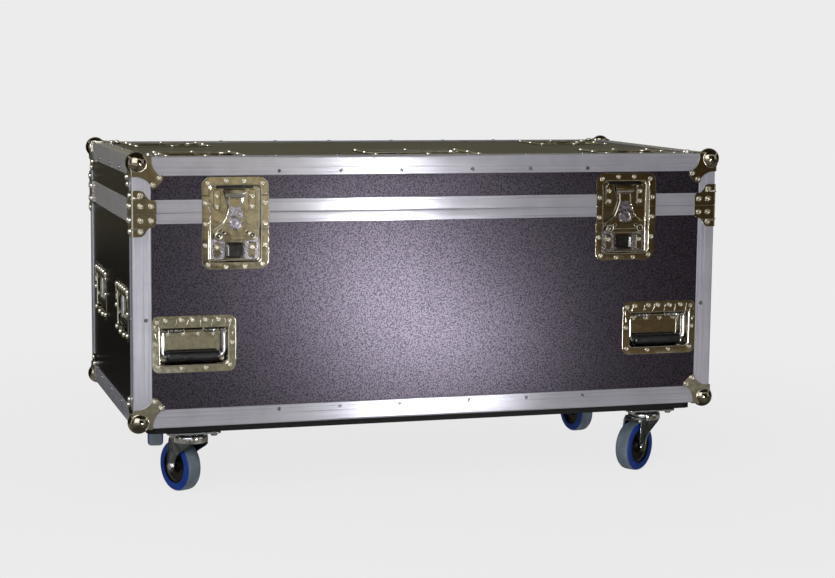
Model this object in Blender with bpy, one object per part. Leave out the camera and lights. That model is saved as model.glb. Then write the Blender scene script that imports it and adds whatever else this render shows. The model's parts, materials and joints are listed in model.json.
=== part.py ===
# Four-way tour pack case: a laminated plywood trunk with a hinged lid, edged in aluminium and
# standing on four swivel castors. Sizes are in millimetres. The model is drawn from the underside
# of the box (z = 0) and lifted at the end, so that the castors stand on the ground.
# X runs along the front, Y runs from front to rear, and the origin is the middle of the footprint.

import bmesh
import bpy
from math import cos, pi, radians, sin
from mathutils import Matrix, Vector

# Case
LENGTH = 1200.0
DEPTH = 600.0
HEIGHT = 518.0
SPLIT = 411.5
PANEL = 9.0
CLEAR = 0.3

# Aluminium edging
LEG = 36.0
ANGLE = 2.1
PANEL_INSET = ANGLE + CLEAR
BASE_RIM_HEIGHT = 20.0
LID_RIM_HEIGHT = 25.5
RIM_WEB = 8.6
RIM_WALL = 2.0
TONGUE = (6.2, 8.2)
GROOVE = (4.9, 9.5)
TONGUE_REACH = 3.9
GROOVE_DEPTH = 4.9

# Ball corners and corner braces
BALL_RADIUS = 21.0
BALL_INSET = 11.0
PLATE = 1.6
CORNER_REACH = 62.0
BRACE_WIDE = (46.0, 26.0)
BRACE_TALL = (26.0, 43.5)

# Rear hinge
PIN_RADIUS = 2.0
KNUCKLE_RADIUS = 4.0
HINGE_STANDOFF = 5.0
LEAF = 1.2
LEAF_HEIGHT = 20.0
HINGE_LENGTH = 1096.0
KNUCKLES = 9

# Butterfly latches
LATCH_X = 402.5
LATCH_WIDTH = 130.0
LATCH_BOTTOM = 302.5
LATCH_TOP = 479.5
LATCH_POCKET = (-49.5, 49.5, 317.0, 462.5)
LATCH_GAP = 51.2
LATCH_STEP = (378.8, 444.2)
LATCH_FLOOR = -10.2
SHEET = 1.2
CAM_HEIGHT = 391.0
CAM_RADIUS = 13.0
CAM_SHAFT = 6.5
HOOK_TRAVEL = 8.0
WING_AXIS = LATCH_FLOOR + 8.3

# Recessed handles
HANDLE_SIZE = (161.5, 109.5)
HANDLE_POCKET = (-65.0, 65.0, -39.0, 39.7)
HANDLE_FLOOR = -26.0
HANDLE_STRIP = (31.5, 49.0)
HANDLE_FRONT_X = 482.8
HANDLE_FRONT_Z = 161.0
HANDLE_END_Y = 152.0
HANDLE_END_Z = 211.0
BAIL_PIVOT = (25.0, -14.0)
BAIL_HALF = 55.0
BAIL_RADIUS = 4.25
BAIL_DROP = 51.0
GRIP_RADIUS = 11.0

# Dishes in the lid's top
CUP_SIZE = (168.0, 158.0)
CUP_POCKET = (140.0, 130.0)
CUP_DEPTH = 20.0
CUP_X = 452.0
CUP_Y = 184.0
LABEL_SIZE = (232.0, 172.0)
LABEL_POCKET = (204.0, 144.0)
LABEL_DEPTH = 6.6
LABEL_Y = -158.0

# Castors and their board
WHEEL_RADIUS = 50.0
WHEEL_WIDTH = 32.0
WHEEL_FACETS = 20
CASTOR_HEIGHT = 128.0
CASTOR_TRAIL = 36.0
CASTOR_X = 480.0
BOARD = 15.0
BOARD_X = 570.0
BOARD_Y = (-277.0, 223.0)
BOARD_CORNER = 14.0
CASTOR_PLATE = (105.0, 85.0, 3.0)
CASTOR_BOLTS = (40.0, 30.0)
AXLE_RADIUS = 5.0
RACE_FACETS = 14
# where each castor is mounted (y) and the way its wheel trails, in degrees from +X
CASTORS = {
    "front_left": (-1, -242.0, 115.0),
    "front_right": (1, -242.0, 214.0),
    "rear_left": (-1, 186.0, 81.0),
    "rear_right": (1, 186.0, 280.0),
}

GROUND = -(CASTOR_HEIGHT + BOARD)
LAMINATE_Z = HEIGHT - PANEL_INSET
# the underside of a flange that lies on the laminate, measured outwards from the case's face
SEAT = -PANEL_INSET + CLEAR
MM = 0.001

FINISHES = {
    # name: colour, metallic, roughness
    "laminate": ((0.030, 0.028, 0.034), 0.0, 0.55),
    "board": ((0.018, 0.018, 0.020), 0.0, 0.60),
    "aluminium": ((0.56, 0.57, 0.61), 1.0, 0.38),
    "nickel": ((0.52, 0.50, 0.44), 1.0, 0.22),
    "chrome": ((0.66, 0.66, 0.68), 1.0, 0.12),
    "zinc": ((0.50, 0.51, 0.52), 1.0, 0.30),
    "wheel": ((0.03, 0.11, 0.42), 0.0, 0.50),
}


# Shapes

def shape_of(bm):
    """Turn a finished bmesh into a loose object with its faces outwards."""
    bmesh.ops.recalc_face_normals(bm, faces=bm.faces)
    mesh = bpy.data.meshes.new("shape")
    bm.to_mesh(mesh)
    bm.free()
    shape = bpy.data.objects.new("shape", mesh)
    bpy.context.scene.collection.objects.link(shape)
    return shape


def box(x, y, z):
    """A block between the (low, high) pairs x, y and z."""
    bm = bmesh.new()
    bmesh.ops.create_cube(bm, size=1.0)
    for vert in bm.verts:
        side = [1 if value > 0 else 0 for value in vert.co]
        vert.co = (x[side[0]], y[side[1]], z[side[2]])
    return shape_of(bm)


def centred_box(half_x, half_y, z):
    return box((-half_x, half_x), (-half_y, half_y), z)


def prism(outline, low, high):
    """An outline in X and Y, raised from z = low to z = high."""
    bm = bmesh.new()
    face = bm.faces.new([bm.verts.new((x, y, low)) for x, y in outline])
    grown = bmesh.ops.extrude_face_region(bm, geom=[face])
    top = [item for item in grown["geom"] if isinstance(item, bmesh.types.BMVert)]
    bmesh.ops.translate(bm, verts=top, vec=(0, 0, high - low))
    return shape_of(bm)


def cylinder(start, end, radius, facets=16):
    """A round bar between two points."""
    start, end = Vector(start), Vector(end)
    bm = bmesh.new()
    turn = (end - start).to_track_quat("Z", "Y").to_matrix().to_4x4()
    matrix = Matrix.Translation((start + end) / 2) @ turn
    bmesh.ops.create_cone(bm, cap_ends=True, segments=facets, radius1=radius, radius2=radius,
                          depth=(end - start).length, matrix=matrix)
    return shape_of(bm)


def ball(centre, radius, pole):
    """A sphere with its pole turned to face a direction."""
    bm = bmesh.new()
    turn = Vector(pole).to_track_quat("Z", "Y").to_matrix().to_4x4()
    bmesh.ops.create_uvsphere(bm, u_segments=14, v_segments=8, radius=radius,
                              matrix=Matrix.Translation(centre) @ turn)
    return shape_of(bm)


def turned(profile, facets, start_angle=0.0):
    """A closed outline of (radius, z) points spun about Z."""
    bm = bmesh.new()
    rings = []
    for step in range(facets):
        angle = start_angle + 2 * pi * step / facets
        rings.append([bm.verts.new((r * cos(angle), r * sin(angle), z)) for r, z in profile])
    for ring, following in zip(rings, rings[1:] + rings[:1]):
        for i in range(len(profile)):
            j = (i + 1) % len(profile)
            bm.faces.new((ring[i], ring[j], following[j], following[i]))
    return shape_of(bm)


def tube(points, radius, sides):
    """A rod along points that lie in one plane of constant z."""
    bm = bmesh.new()
    points = [Vector(point) for point in points]
    up = Vector((0, 0, 1))
    rings = []
    for i, point in enumerate(points):
        before = (point - points[i - 1]).normalized() if i else None
        after = (points[i + 1] - point).normalized() if i + 1 < len(points) else None
        along = ((before or after) + (after or before)).normalized()
        stretch = 1.0 / along.dot(after or before)
        across = along.cross(up) * stretch
        ring = []
        for k in range(sides):
            angle = 2 * pi * (k + 0.5) / sides
            ring.append(bm.verts.new(point + across * radius * cos(angle) + up * radius * sin(angle)))
        rings.append(ring)
    for ring, following in zip(rings, rings[1:]):
        for k in range(sides):
            j = (k + 1) % sides
            bm.faces.new((ring[k], ring[j], following[j], following[k]))
    bm.faces.new(rings[0])
    bm.faces.new(rings[-1])
    return shape_of(bm)


def arc(centre, radius, start, end, steps):
    """Points on a circle from start to end, in degrees."""
    angles = [radians(start + (end - start) * i / steps) for i in range(steps + 1)]
    return [(centre[0] + radius * cos(a), centre[1] + radius * sin(a)) for a in angles]


def rounded(x, y, radius, steps=2):
    """A rectangle between the pairs x and y with round corners."""
    corners = [(x[1], y[1], 0), (x[0], y[1], 90), (x[0], y[0], 180), (x[1], y[0], 270)]
    outline = []
    for cx, cy, start in corners:
        centre = (cx - radius * (1 if cx == x[1] else -1), cy - radius * (1 if cy == y[1] else -1))
        outline += arc(centre, radius, start, start + 90, steps)
    return outline


def drop(shape):
    mesh = shape.data
    bpy.data.objects.remove(shape)
    bpy.data.meshes.remove(mesh)


def combine(shape, tools, operation):
    """Join or cut one shape with others, which are used up."""
    for tool in tools:
        modifier = shape.modifiers.new("combine", "BOOLEAN")
        modifier.operation = operation
        modifier.object = tool
    depsgraph = bpy.context.evaluated_depsgraph_get()
    result = bpy.data.meshes.new_from_object(shape.evaluated_get(depsgraph))
    shape.modifiers.clear()
    plain = shape.data
    shape.data = result
    bpy.data.meshes.remove(plain)
    for tool in tools:
        drop(tool)
    return shape


def join(shape, *tools):
    return combine(shape, tools, "UNION")


def cut(shape, *tools):
    return combine(shape, tools, "DIFFERENCE")


def moved(shape, matrix):
    """Move, turn or mirror a shape in place."""
    shape.data.transform(matrix)
    if matrix.determinant() < 0:
        shape.data.flip_normals()
    return shape


def copy_of(shape, matrix):
    twin = bpy.data.objects.new("shape", shape.data.copy())
    bpy.context.scene.collection.objects.link(twin)
    return moved(twin, matrix)


def facing(origin, outward):
    """Axes of a face: X to the right, Y up (or rearwards on top), Z outwards."""
    outward = Vector(outward)
    up = Vector((0, 1, 0)) if outward.z else Vector((0, 0, 1))
    right = up.cross(outward)
    turn = Matrix((right, up, outward)).transposed().to_4x4()
    return Matrix.Translation(origin) @ turn


def mirror(x=1, y=1, z=1):
    return Matrix.Diagonal((x, y, z, 1))


def material(finish):
    found = bpy.data.materials.get(finish)
    if found:
        return found
    colour, metallic, roughness = FINISHES[finish]
    made = bpy.data.materials.new(finish)
    made.use_nodes = True
    shader = made.node_tree.nodes["Principled BSDF"]
    shader.inputs["Base Color"].default_value = (*colour, 1.0)
    shader.inputs["Metallic"].default_value = metallic
    shader.inputs["Roughness"].default_value = roughness
    made.diffuse_color = (*colour, 1.0)
    return made


def piece(name, shape, finish, pivot=(0, 0, GROUND)):
    """Name a finished shape, lift it onto its wheels and put its origin on its pivot."""
    pivot = Vector(pivot)
    lift = Matrix.Scale(MM, 4) @ Matrix.Translation(-pivot)
    shape.data.transform(lift)
    shape.location = (pivot - Vector((0, 0, GROUND))) * MM
    shape.name = name
    shape.data.name = name
    shape.data.materials.clear()
    shape.data.materials.append(material(finish))
    for face in shape.data.polygons:
        face.material_index = 0
    shape.data.shade_smooth()
    shape.data.set_sharp_from_angle(angle=radians(35))
    return shape


# Edging that runs round the case

def hoop(outer, inner, z):
    """A rectangular ring whose sides lie between two depths in from the case's faces."""
    ring = centred_box(LENGTH / 2 - outer, DEPTH / 2 - outer, z)
    hole = centred_box(LENGTH / 2 - inner, DEPTH / 2 - inner, (z[0] - 1, z[1] + 1))
    return cut(ring, hole)


def cage(z, closed_end):
    """Angle extrusions along a box's edges: a thin tray with a window in each face."""
    tray = centred_box(LENGTH / 2, DEPTH / 2, z)
    low, high = z
    inside = (low + ANGLE, high + 1) if closed_end == low else (low - 1, high - ANGLE)
    hollow = centred_box(LENGTH / 2 - ANGLE, DEPTH / 2 - ANGLE, inside)
    side = (low + LEG, high + 1) if closed_end == low else (low - 1, high - LEG)
    long_window = centred_box(LENGTH / 2 - LEG, DEPTH, side)
    end_window = centred_box(LENGTH, DEPTH / 2 - LEG, side)
    flat_window = centred_box(LENGTH / 2 - LEG, DEPTH / 2 - LEG, (closed_end - LEG / 2, closed_end + LEG / 2))
    return cut(tray, hollow, long_window, end_window, flat_window)


def brace_plate(height, inset):
    """One face of a brace half, flat in X and Y with the case's upright edge at x = 0."""
    wide, step = BRACE_WIDE
    narrow, top = BRACE_TALL
    edge, start, top = -PLATE, CLEAR + inset, top - inset
    outline = [(edge, start), (wide, start), (wide, step - 4), (wide - 4, step), (narrow + 6, step),
               (narrow, step + 6)]
    outline += arc((narrow - 12, top - 12), 12, 0, 90, 2)
    outline += [(edge, top)]
    # the block under the plate reaches through to the rim, so that brace and rim are one piece
    lap_edge, lap_wide, lap_start, lap_top = edge + 0.2, wide - 0.3, start + 0.1, height - 1
    lap = [(lap_edge, lap_start), (lap_wide, lap_start), (lap_wide, lap_top), (lap_edge, lap_top)]
    return join(prism(outline, CLEAR, CLEAR + PLATE), prism(lap, -ANGLE + 0.6, CLEAR + PLATE - 0.4))


def corner_brace(height, sign):
    """Half of a split brace at the corner x = y = 0: two plates wrapped round the upright edge."""
    upright = Matrix(((1, 0, 0, 0), (0, 0, -1, 0), (0, 1, 0, 0), (0, 0, 0, 1)))
    swap = Matrix(((0, 1, 0, 0), (1, 0, 0, 0), (0, 0, 1, 0), (0, 0, 0, 1)))
    front = moved(brace_plate(height, 0.0), mirror(z=sign) @ upright)
    end = moved(brace_plate(height, 0.2), mirror(z=sign) @ swap @ upright)
    return join(front, end)


def rim(name, sign, height):
    """One half of the tongue-and-groove rim, with its four corner braces."""

    def level(distance, further):
        return tuple(sorted((SPLIT + sign * distance, SPLIT + sign * further)))

    near = CLEAR / 2
    inside = PANEL_INSET + PANEL + CLEAR
    ring = hoop(0, ANGLE, level(near, height))
    web = hoop(1.0, inside + RIM_WALL, level(near, near + RIM_WEB))
    inner = hoop(inside, inside + RIM_WALL - 0.2, level(near + 1, height))
    ring = join(ring, web, inner)
    if sign > 0:
        ring = join(ring, hoop(*TONGUE, (SPLIT - TONGUE_REACH, SPLIT + 1)))
    else:
        ring = cut(ring, hoop(*GROOVE, (SPLIT - GROOVE_DEPTH, SPLIT + 1)))
    # the latches' dishes pass through the front of both rims
    front = (-DEPTH / 2 - 3, -DEPTH / 2 + inside - CLEAR / 2)
    for x in (-LATCH_X, LATCH_X):
        ring = cut(ring, box((x - LATCH_GAP, x + LATCH_GAP), front, (SPLIT - 60, SPLIT + 60)))
    for sx in (-1, 1):
        for sy in (-1, 1):
            place = Matrix.Translation((sx * LENGTH / 2, sy * DEPTH / 2, SPLIT)) @ mirror(-sx, -sy)
            ring = join(ring, moved(corner_brace(height, sign), place))
    return piece(name, ring, "aluminium")


# Panels and board

def panels():
    """The base's four walls and floor, cut for the latches and handles."""
    top = SPLIT - CLEAR / 2 - RIM_WEB - CLEAR
    out_x = LENGTH / 2 - PANEL_INSET
    out_y = DEPTH / 2 - PANEL_INSET
    in_y = out_y - PANEL
    front = box((-out_x, out_x), (-out_y, -in_y), (PANEL_INSET, top))
    front = cut(front, *[moved(latch_hole(), latch_face(x)) for x in (-LATCH_X, LATCH_X)])
    front = cut(front, *[moved(handle_hole(), place) for place in handle_faces("front").values()])
    piece("base_front_panel", front, "laminate")
    piece("base_rear_panel", box((-out_x, out_x), (in_y, out_y), (PANEL_INSET, top)), "laminate")
    for side, sign in (("left", -1), ("right", 1)):
        x = tuple(sorted((sign * out_x, sign * (out_x - PANEL))))
        wall = box(x, (-in_y + CLEAR, in_y - CLEAR), (PANEL_INSET, top))
        wall = cut(wall, *[moved(handle_hole(), place) for place in handle_faces(side).values()])
        piece(f"base_{side}_panel", wall, "laminate")
    floor = centred_box(out_x - PANEL - CLEAR, in_y - CLEAR, (PANEL_INSET, PANEL_INSET + PANEL))
    piece("base_floor_panel", floor, "laminate")


def castor_board():
    """The board under the floor, rebated where it lies on the front ball corners."""
    board = prism(rounded((-BOARD_X, BOARD_X), BOARD_Y, BOARD_CORNER), -BOARD, -CLEAR)
    for side in (-1, 1):
        x = tuple(sorted((side * (LENGTH / 2 - CORNER_REACH), side * LENGTH / 2)))
        board = cut(board, box(x, (-DEPTH / 2, -DEPTH / 2 + CORNER_REACH), (-PLATE - 3 * CLEAR, 1)))
    piece("castor_board", board, "board")


def lid_shell():
    """Top and walls glued into one shallow box, cut for the dishes and the latches."""
    bottom = SPLIT + CLEAR / 2 + RIM_WEB + CLEAR
    out_x = LENGTH / 2 - PANEL_INSET
    out_y = DEPTH / 2 - PANEL_INSET
    shell = centred_box(out_x, out_y, (bottom, LAMINATE_Z))
    shell = cut(shell, centred_box(out_x - PANEL, out_y - PANEL, (bottom - 1, LAMINATE_Z - PANEL)))
    shell = cut(shell, *[moved(latch_hole(), latch_face(x)) for x in (-LATCH_X, LATCH_X)])
    holes = [moved(tray_hole(CUP_POCKET, 20.0), place) for place in cup_faces().values()]
    holes.append(moved(tray_hole(LABEL_POCKET, 12.0), label_face()))
    piece("lid_shell", cut(shell, *holes), "laminate")


# Ball corners

def corner_outline():
    """One leg of a ball corner, seen square on with the case's corner at (0, 0)."""
    lobe = 7.5
    far, near = 52.5, 40.0
    curve = arc((73.0, 5.0), 36.0, 180, 122, 3) + arc((far, near), lobe, -58, 45, 2)
    # the two legs that share an edge overlap there without lying in one plane
    edge_x, edge_y = -PLATE, -PLATE + 0.1
    outline = [(edge_x, edge_y), (37.0, edge_y)] + curve
    return outline + [(y, x) for x, y in reversed(curve)] + [(edge_x, 37.2)]


def ball_corner():
    """The corner at x = y = z = 0 of a case that fills the positive octant."""
    reach = 90.0
    room = (-CLEAR - 0.2, reach)
    shell = cut(ball((BALL_INSET,) * 3, BALL_RADIUS, (-1, -1, -1)), box(room, room, room))
    # each leg lies on two extrusions, and its tip steps down onto the laminate between them
    edge = LEG + CLEAR
    extrusions = [(-10, -10), (reach, -10), (reach, edge), (edge, edge), (edge, reach), (-10, reach)]
    leg = cut(prism(corner_outline(), -CLEAR - PLATE, PANEL_INSET - CLEAR), prism(extrusions, -CLEAR, 10))
    turn = Matrix(((0, 0, 1, 0), (1, 0, 0, 0), (0, 1, 0, 0), (0, 0, 0, 1)))
    legs = [copy_of(leg, turn), copy_of(leg, turn @ turn)]
    return join(leg, *legs, shell)


def ball_corners():
    corner = ball_corner()
    for level, z, sz in (("base", 0.0, 1), ("lid", HEIGHT, -1)):
        for depth, sy in (("front", -1), ("rear", 1)):
            for side, sx in (("left", -1), ("right", 1)):
                place = Matrix.Translation((sx * LENGTH / 2, sy * DEPTH / 2, z)) @ mirror(-sx, -sy, sz)
                piece(f"{level}_ball_corner_{depth}_{side}", copy_of(corner, place), "nickel")
    drop(corner)


# Rear hinge

def hinge():
    """A continuous hinge: knuckles alternate between the base leaf, with the pin, and the lid leaf."""
    y = DEPTH / 2 + HINGE_STANDOFF
    face = DEPTH / 2 + CLEAR
    pitch = HINGE_LENGTH / KNUCKLES
    half = HINGE_LENGTH / 2
    relief = KNUCKLE_RADIUS + 0.6
    base = box((-half, half), (face, face + LEAF), (SPLIT - LEAF_HEIGHT, SPLIT - relief))
    lid = box((-half, half), (face, face + LEAF), (SPLIT + relief, SPLIT + LEAF_HEIGHT))
    base_parts = [cylinder((-half, y, SPLIT), (half, y, SPLIT), PIN_RADIUS, 8)]
    lid_parts = []
    for i in range(KNUCKLES):
        start = -half + i * pitch + CLEAR / 2
        end = -half + (i + 1) * pitch - CLEAR / 2
        sign = 1 if i % 2 else -1
        tab_z = tuple(sorted((SPLIT + sign * CLEAR / 2, SPLIT + sign * (relief + 1.5))))
        tab = box((start, end), (face, y - PIN_RADIUS - 0.6), tab_z)
        knuckle = cylinder((start, y, SPLIT), (end, y, SPLIT), KNUCKLE_RADIUS, 8)
        if sign < 0:
            base_parts += [knuckle, tab]
        else:
            lid_parts += [knuckle, tab]
    base = join(base, *base_parts)
    lid = join(lid, *lid_parts)
    lid = cut(lid, cylinder((-half - 5, y, SPLIT), (half + 5, y, SPLIT), PIN_RADIUS + CLEAR, 8))
    piece("hinge_base_leaf", base, "zinc")
    piece("hinge_lid_leaf", lid, "zinc", (0, y, SPLIT))


# Butterfly latches: drawn in X and Y on the front face, with Y as height and Z outwards

def latch_face(x):
    return facing((x, -DEPTH / 2, 0), (0, -1, 0))


def latch_hole():
    left, right, low, high = LATCH_POCKET
    margin = SHEET + 0.5
    outline = rounded((left - margin, right + margin), (low - margin, high + margin), 9.0)
    return prism(outline, -30, 5)


def latch_dish(sign):
    """Half of the dish on one side of the split, with its flange stepped over the rim."""
    left, right, low, high = LATCH_POCKET
    edge = SPLIT + sign * CLEAR / 2
    step = LATCH_STEP[0] if sign < 0 else LATCH_STEP[1]
    far = LATCH_BOTTOM if sign < 0 else LATCH_TOP
    half = LATCH_WIDTH / 2
    beyond = far + sign * 50
    keep_step = box((-90, 90), tuple(sorted((step, beyond))), (-40, 40))
    keep_edge = box((-90, 90), tuple(sorted((edge, beyond))), (-40, 40))
    outline = rounded((-half, half), (LATCH_BOTTOM, LATCH_TOP), 18.0)
    low_flange = combine(prism(outline, SEAT, SEAT + SHEET), [keep_step], "INTERSECT")
    high_flange = box((-half, half), tuple(sorted((edge, step))), (CLEAR, CLEAR + SHEET))
    riser = box((-half, half), tuple(sorted((step - sign * SHEET, step + sign * 0.2))), (SEAT, CLEAR + SHEET))
    walls = rounded((left - SHEET, right + SHEET), (low - SHEET, high + SHEET), 9.0)
    pan = combine(prism(walls, LATCH_FLOOR - SHEET, CLEAR + 0.4), [keep_edge], "INTERSECT")
    above = box((-90, 90), tuple(sorted((step + sign * 0.1, beyond))), (SEAT + 0.5, 40))
    dish = join(cut(pan, above), low_flange, riser, high_flange)
    pocket = rounded((left, right), (low, high), 8.0)
    dish = cut(dish, prism(pocket, LATCH_FLOOR, 30))
    return join(dish, *latch_ribs(sign))


def latch_ribs(sign):
    """Pressed ribs on the dish's floor, and the keeper's arch in the lid's half."""
    ribs = []
    z = (LATCH_FLOOR - 0.5, LATCH_FLOOR + 2.6)
    y = (323.0, 355.0) if sign < 0 else (SPLIT + 2.5, 459.0)
    for side in (-1, 1):
        ribs.append(box(tuple(sorted((side * 28.0, side * 40.0))), y, z))
    if sign > 0:
        arch = rounded((-20.0, 20.0), (423.0, 457.0), 5.0)
        ribs.append(prism(arch, LATCH_FLOOR - 0.5, LATCH_FLOOR + 3.9))
    return ribs


def latch_hook():
    """The draw hook: a neck that reaches over the keeper, and shoulders round the cam's slot."""
    half = [(12.5, 439.0), (12.5, 402.0), (39.0, 381.0), (40.0, 369.0), (34.0, 362.0)]
    outline = half + [(-x, y) for x, y in reversed(half)]
    hook = prism(outline, LATCH_FLOOR + 4.3, LATCH_FLOOR + 6.3)
    room = CAM_SHAFT + 0.6
    slot = rounded((-room, room), (CAM_HEIGHT - HOOK_TRAVEL - room, CAM_HEIGHT + room), room - 0.1, 4)
    return cut(hook, prism(slot, LATCH_FLOOR, 5))


def latch_cam():
    """A shaft through the hook's slot, a round head, and the two holes for the wing's pins."""
    head = LATCH_FLOOR + 6.7
    cam = cylinder((0, CAM_HEIGHT, LATCH_FLOOR + 0.4), (0, CAM_HEIGHT, head + 1), CAM_SHAFT, 16)
    cam = join(cam, cylinder((0, CAM_HEIGHT, head), (0, CAM_HEIGHT, head + 3.2), CAM_RADIUS, 24))
    holes = []
    for side in (-1, 1):
        start, end = side * (CAM_RADIUS - 2.0), side * (CAM_RADIUS + 3.0)
        holes.append(cylinder((start, CAM_HEIGHT, WING_AXIS), (end, CAM_HEIGHT, WING_AXIS), 1.2, 8))
    return cut(cam, *holes)


def latch_wing():
    """The folding wing: a waisted plate with two finger holes, pinned to the sides of the cam."""
    half = [(15.5, CAM_HEIGHT + 1.0), (17.5, CAM_HEIGHT - 2.0)]
    half += arc((33.5, 366.5), 6.5, 48, -90, 6)
    outline = half + [(-x, y) for x, y in reversed(half)]
    wing = prism(outline, WING_AXIS - 1.0, WING_AXIS + 1.0)
    around = cylinder((0, CAM_HEIGHT, -20), (0, CAM_HEIGHT, 20), CAM_RADIUS + 0.6, 24)
    holes = [cylinder((side * 24.0, 373.0, -20), (side * 24.0, 373.0, 20), 3.2, 12) for side in (-1, 1)]
    wing = cut(wing, around, *holes)
    pins = []
    for side in (-1, 1):
        start, end = side * (CAM_RADIUS - 1.4), side * (CAM_RADIUS + 2.0)
        pins.append(cylinder((start, CAM_HEIGHT, WING_AXIS), (end, CAM_HEIGHT, WING_AXIS), 0.8, 8))
    return join(wing, *pins)


def latches():
    lower, upper = latch_dish(-1), latch_dish(1)
    hook, cam, wing = latch_hook(), latch_cam(), latch_wing()
    for side, x in (("left", -LATCH_X), ("right", LATCH_X)):
        place = latch_face(x)
        piece(f"latch_dish_{side}", copy_of(lower, place), "nickel")
        piece(f"latch_keeper_{side}", copy_of(upper, place), "nickel")
        piece(f"latch_hook_{side}", copy_of(hook, place), "chrome")
        piece(f"latch_cam_{side}", copy_of(cam, place), "chrome", place @ Vector((0, CAM_HEIGHT, 0)))
        pivot = place @ Vector((0, CAM_HEIGHT, WING_AXIS))
        piece(f"latch_wing_{side}", copy_of(wing, place), "nickel", pivot)
    for shape in (lower, upper, hook, cam, wing):
        drop(shape)


# Recessed handles: drawn about the middle of the dish, with Z outwards

def handle_faces(side=None):
    """Where each handle sits, by name."""
    places = {}
    for name, sign in (("left", -1), ("right", 1)):
        places[f"front_{name}"] = facing((sign * HANDLE_FRONT_X, -DEPTH / 2, HANDLE_FRONT_Z), (0, -1, 0))
        for end, y in (("front", -HANDLE_END_Y), ("rear", HANDLE_END_Y)):
            places[f"{name}_{end}"] = facing((sign * LENGTH / 2, y, HANDLE_END_Z), (sign, 0, 0))
    return {name: place for name, place in places.items() if side is None or name.startswith(side)}


def handle_hole():
    left, right, low, high = HANDLE_POCKET
    margin = SHEET + 0.5
    return prism(rounded((left - margin, right + margin), (low - margin, high + margin), 8.0), -40, 5)


def handle_dish():
    """Flange, pan, the cover strip over the pivot, and the two ears that hold the bail's pins."""
    left, right, low, high = HANDLE_POCKET
    width, height = HANDLE_SIZE
    dish = prism(rounded((-width / 2, width / 2), (-height / 2, height / 2), 14.0), SEAT, SEAT + SHEET)
    walls = rounded((left - SHEET, right + SHEET), (low - SHEET, high + SHEET), 8.0)
    dish = join(dish, prism(walls, HANDLE_FLOOR - SHEET, SEAT + 0.6))
    dish = cut(dish, prism(rounded((left, right), (low, high), 7.0), HANDLE_FLOOR, 30))
    strip = box((left - 4, right + 4), HANDLE_STRIP, (SEAT + 0.4, SEAT + 2.2))
    pivot_y, pivot_z = BAIL_PIVOT
    ears = []
    for side in (-1, 1):
        x = tuple(sorted((side * 60.5, side * 62.5)))
        ear = box(x, (16.0, 34.0), (HANDLE_FLOOR - 0.4, -6.0))
        bore = cylinder((side * 50, pivot_y, pivot_z), (side * 64, pivot_y, pivot_z), 3.6, 8)
        ears.append(cut(ear, bore))
    return join(dish, strip, *ears)


def handle_bail():
    """A bent rod with out-turned pins, and the thick grip along its bottom run."""
    pivot_y, pivot_z = BAIL_PIVOT
    bottom = pivot_y - BAIL_DROP
    bend = 6.0
    half = arc((BAIL_HALF - bend, bottom + bend), bend, -90, 0, 3)
    path = [(-x, y) for x, y in reversed(half)] + half
    path = [(-BAIL_HALF, pivot_y + 3.0)] + path + [(BAIL_HALF, pivot_y + 3.0)]
    rod = tube([(x, y, pivot_z) for x, y in path], BAIL_RADIUS, 8)
    pins = cylinder((-64, pivot_y, pivot_z), (-BAIL_HALF, pivot_y, pivot_z), 3.0, 8)
    other = cylinder((BAIL_HALF, pivot_y, pivot_z), (64, pivot_y, pivot_z), 3.0, 8)
    grip = cylinder((-47, bottom, pivot_z), (47, bottom, pivot_z), GRIP_RADIUS, 12)
    return join(rod, pins, other, grip)


def handles():
    dish, bail = handle_dish(), handle_bail()
    for name, place in handle_faces().items():
        piece(f"handle_dish_{name}", copy_of(dish, place), "nickel")
        piece(f"handle_bail_{name}", copy_of(bail, place), "chrome", place @ Vector((0, *BAIL_PIVOT)))
    drop(dish)
    drop(bail)


# Dishes in the lid's top

def cup_faces():
    places = {}
    for depth, sy in (("front", -1), ("rear", 1)):
        for side, sx in (("left", -1), ("right", 1)):
            places[f"{depth}_{side}"] = facing((sx * CUP_X, sy * CUP_Y, HEIGHT), (0, 0, 1))
    return places


def label_face():
    return facing((0, LABEL_Y, HEIGHT), (0, 0, 1))


def tray(size, pocket, depth, corner):
    """A pressed dish: a flange on the laminate and a pan let in through the wood."""
    x, y = size[0] / 2, size[1] / 2
    px, py = pocket[0] / 2, pocket[1] / 2
    dish = prism(rounded((-x, x), (-y, y), 12.0), SEAT, SEAT + SHEET)
    pan = rounded((-px - SHEET, px + SHEET), (-py - SHEET, py + SHEET), corner)
    dish = join(dish, prism(pan, -depth - PANEL_INSET - SHEET, SEAT + 0.6))
    return cut(dish, prism(rounded((-px, px), (-py, py), corner - SHEET), -depth - PANEL_INSET, 30))


def tray_hole(pocket, corner):
    margin = SHEET + 0.5
    px, py = pocket[0] / 2 + margin, pocket[1] / 2 + margin
    return prism(rounded((-px, px), (-py, py), corner), -40, 5)


def lid_dishes():
    cup = tray(CUP_SIZE, CUP_POCKET, CUP_DEPTH, 20.0)
    for name, place in cup_faces().items():
        piece(f"castor_cup_{name}", copy_of(cup, place), "nickel")
    drop(cup)
    label = tray(LABEL_SIZE, LABEL_POCKET, LABEL_DEPTH, 12.0)
    piece("label_dish", moved(label, label_face()), "nickel")


# Castors: drawn about the swivel axis with the wheel trailing along +X and the board's underside at z = 0

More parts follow.
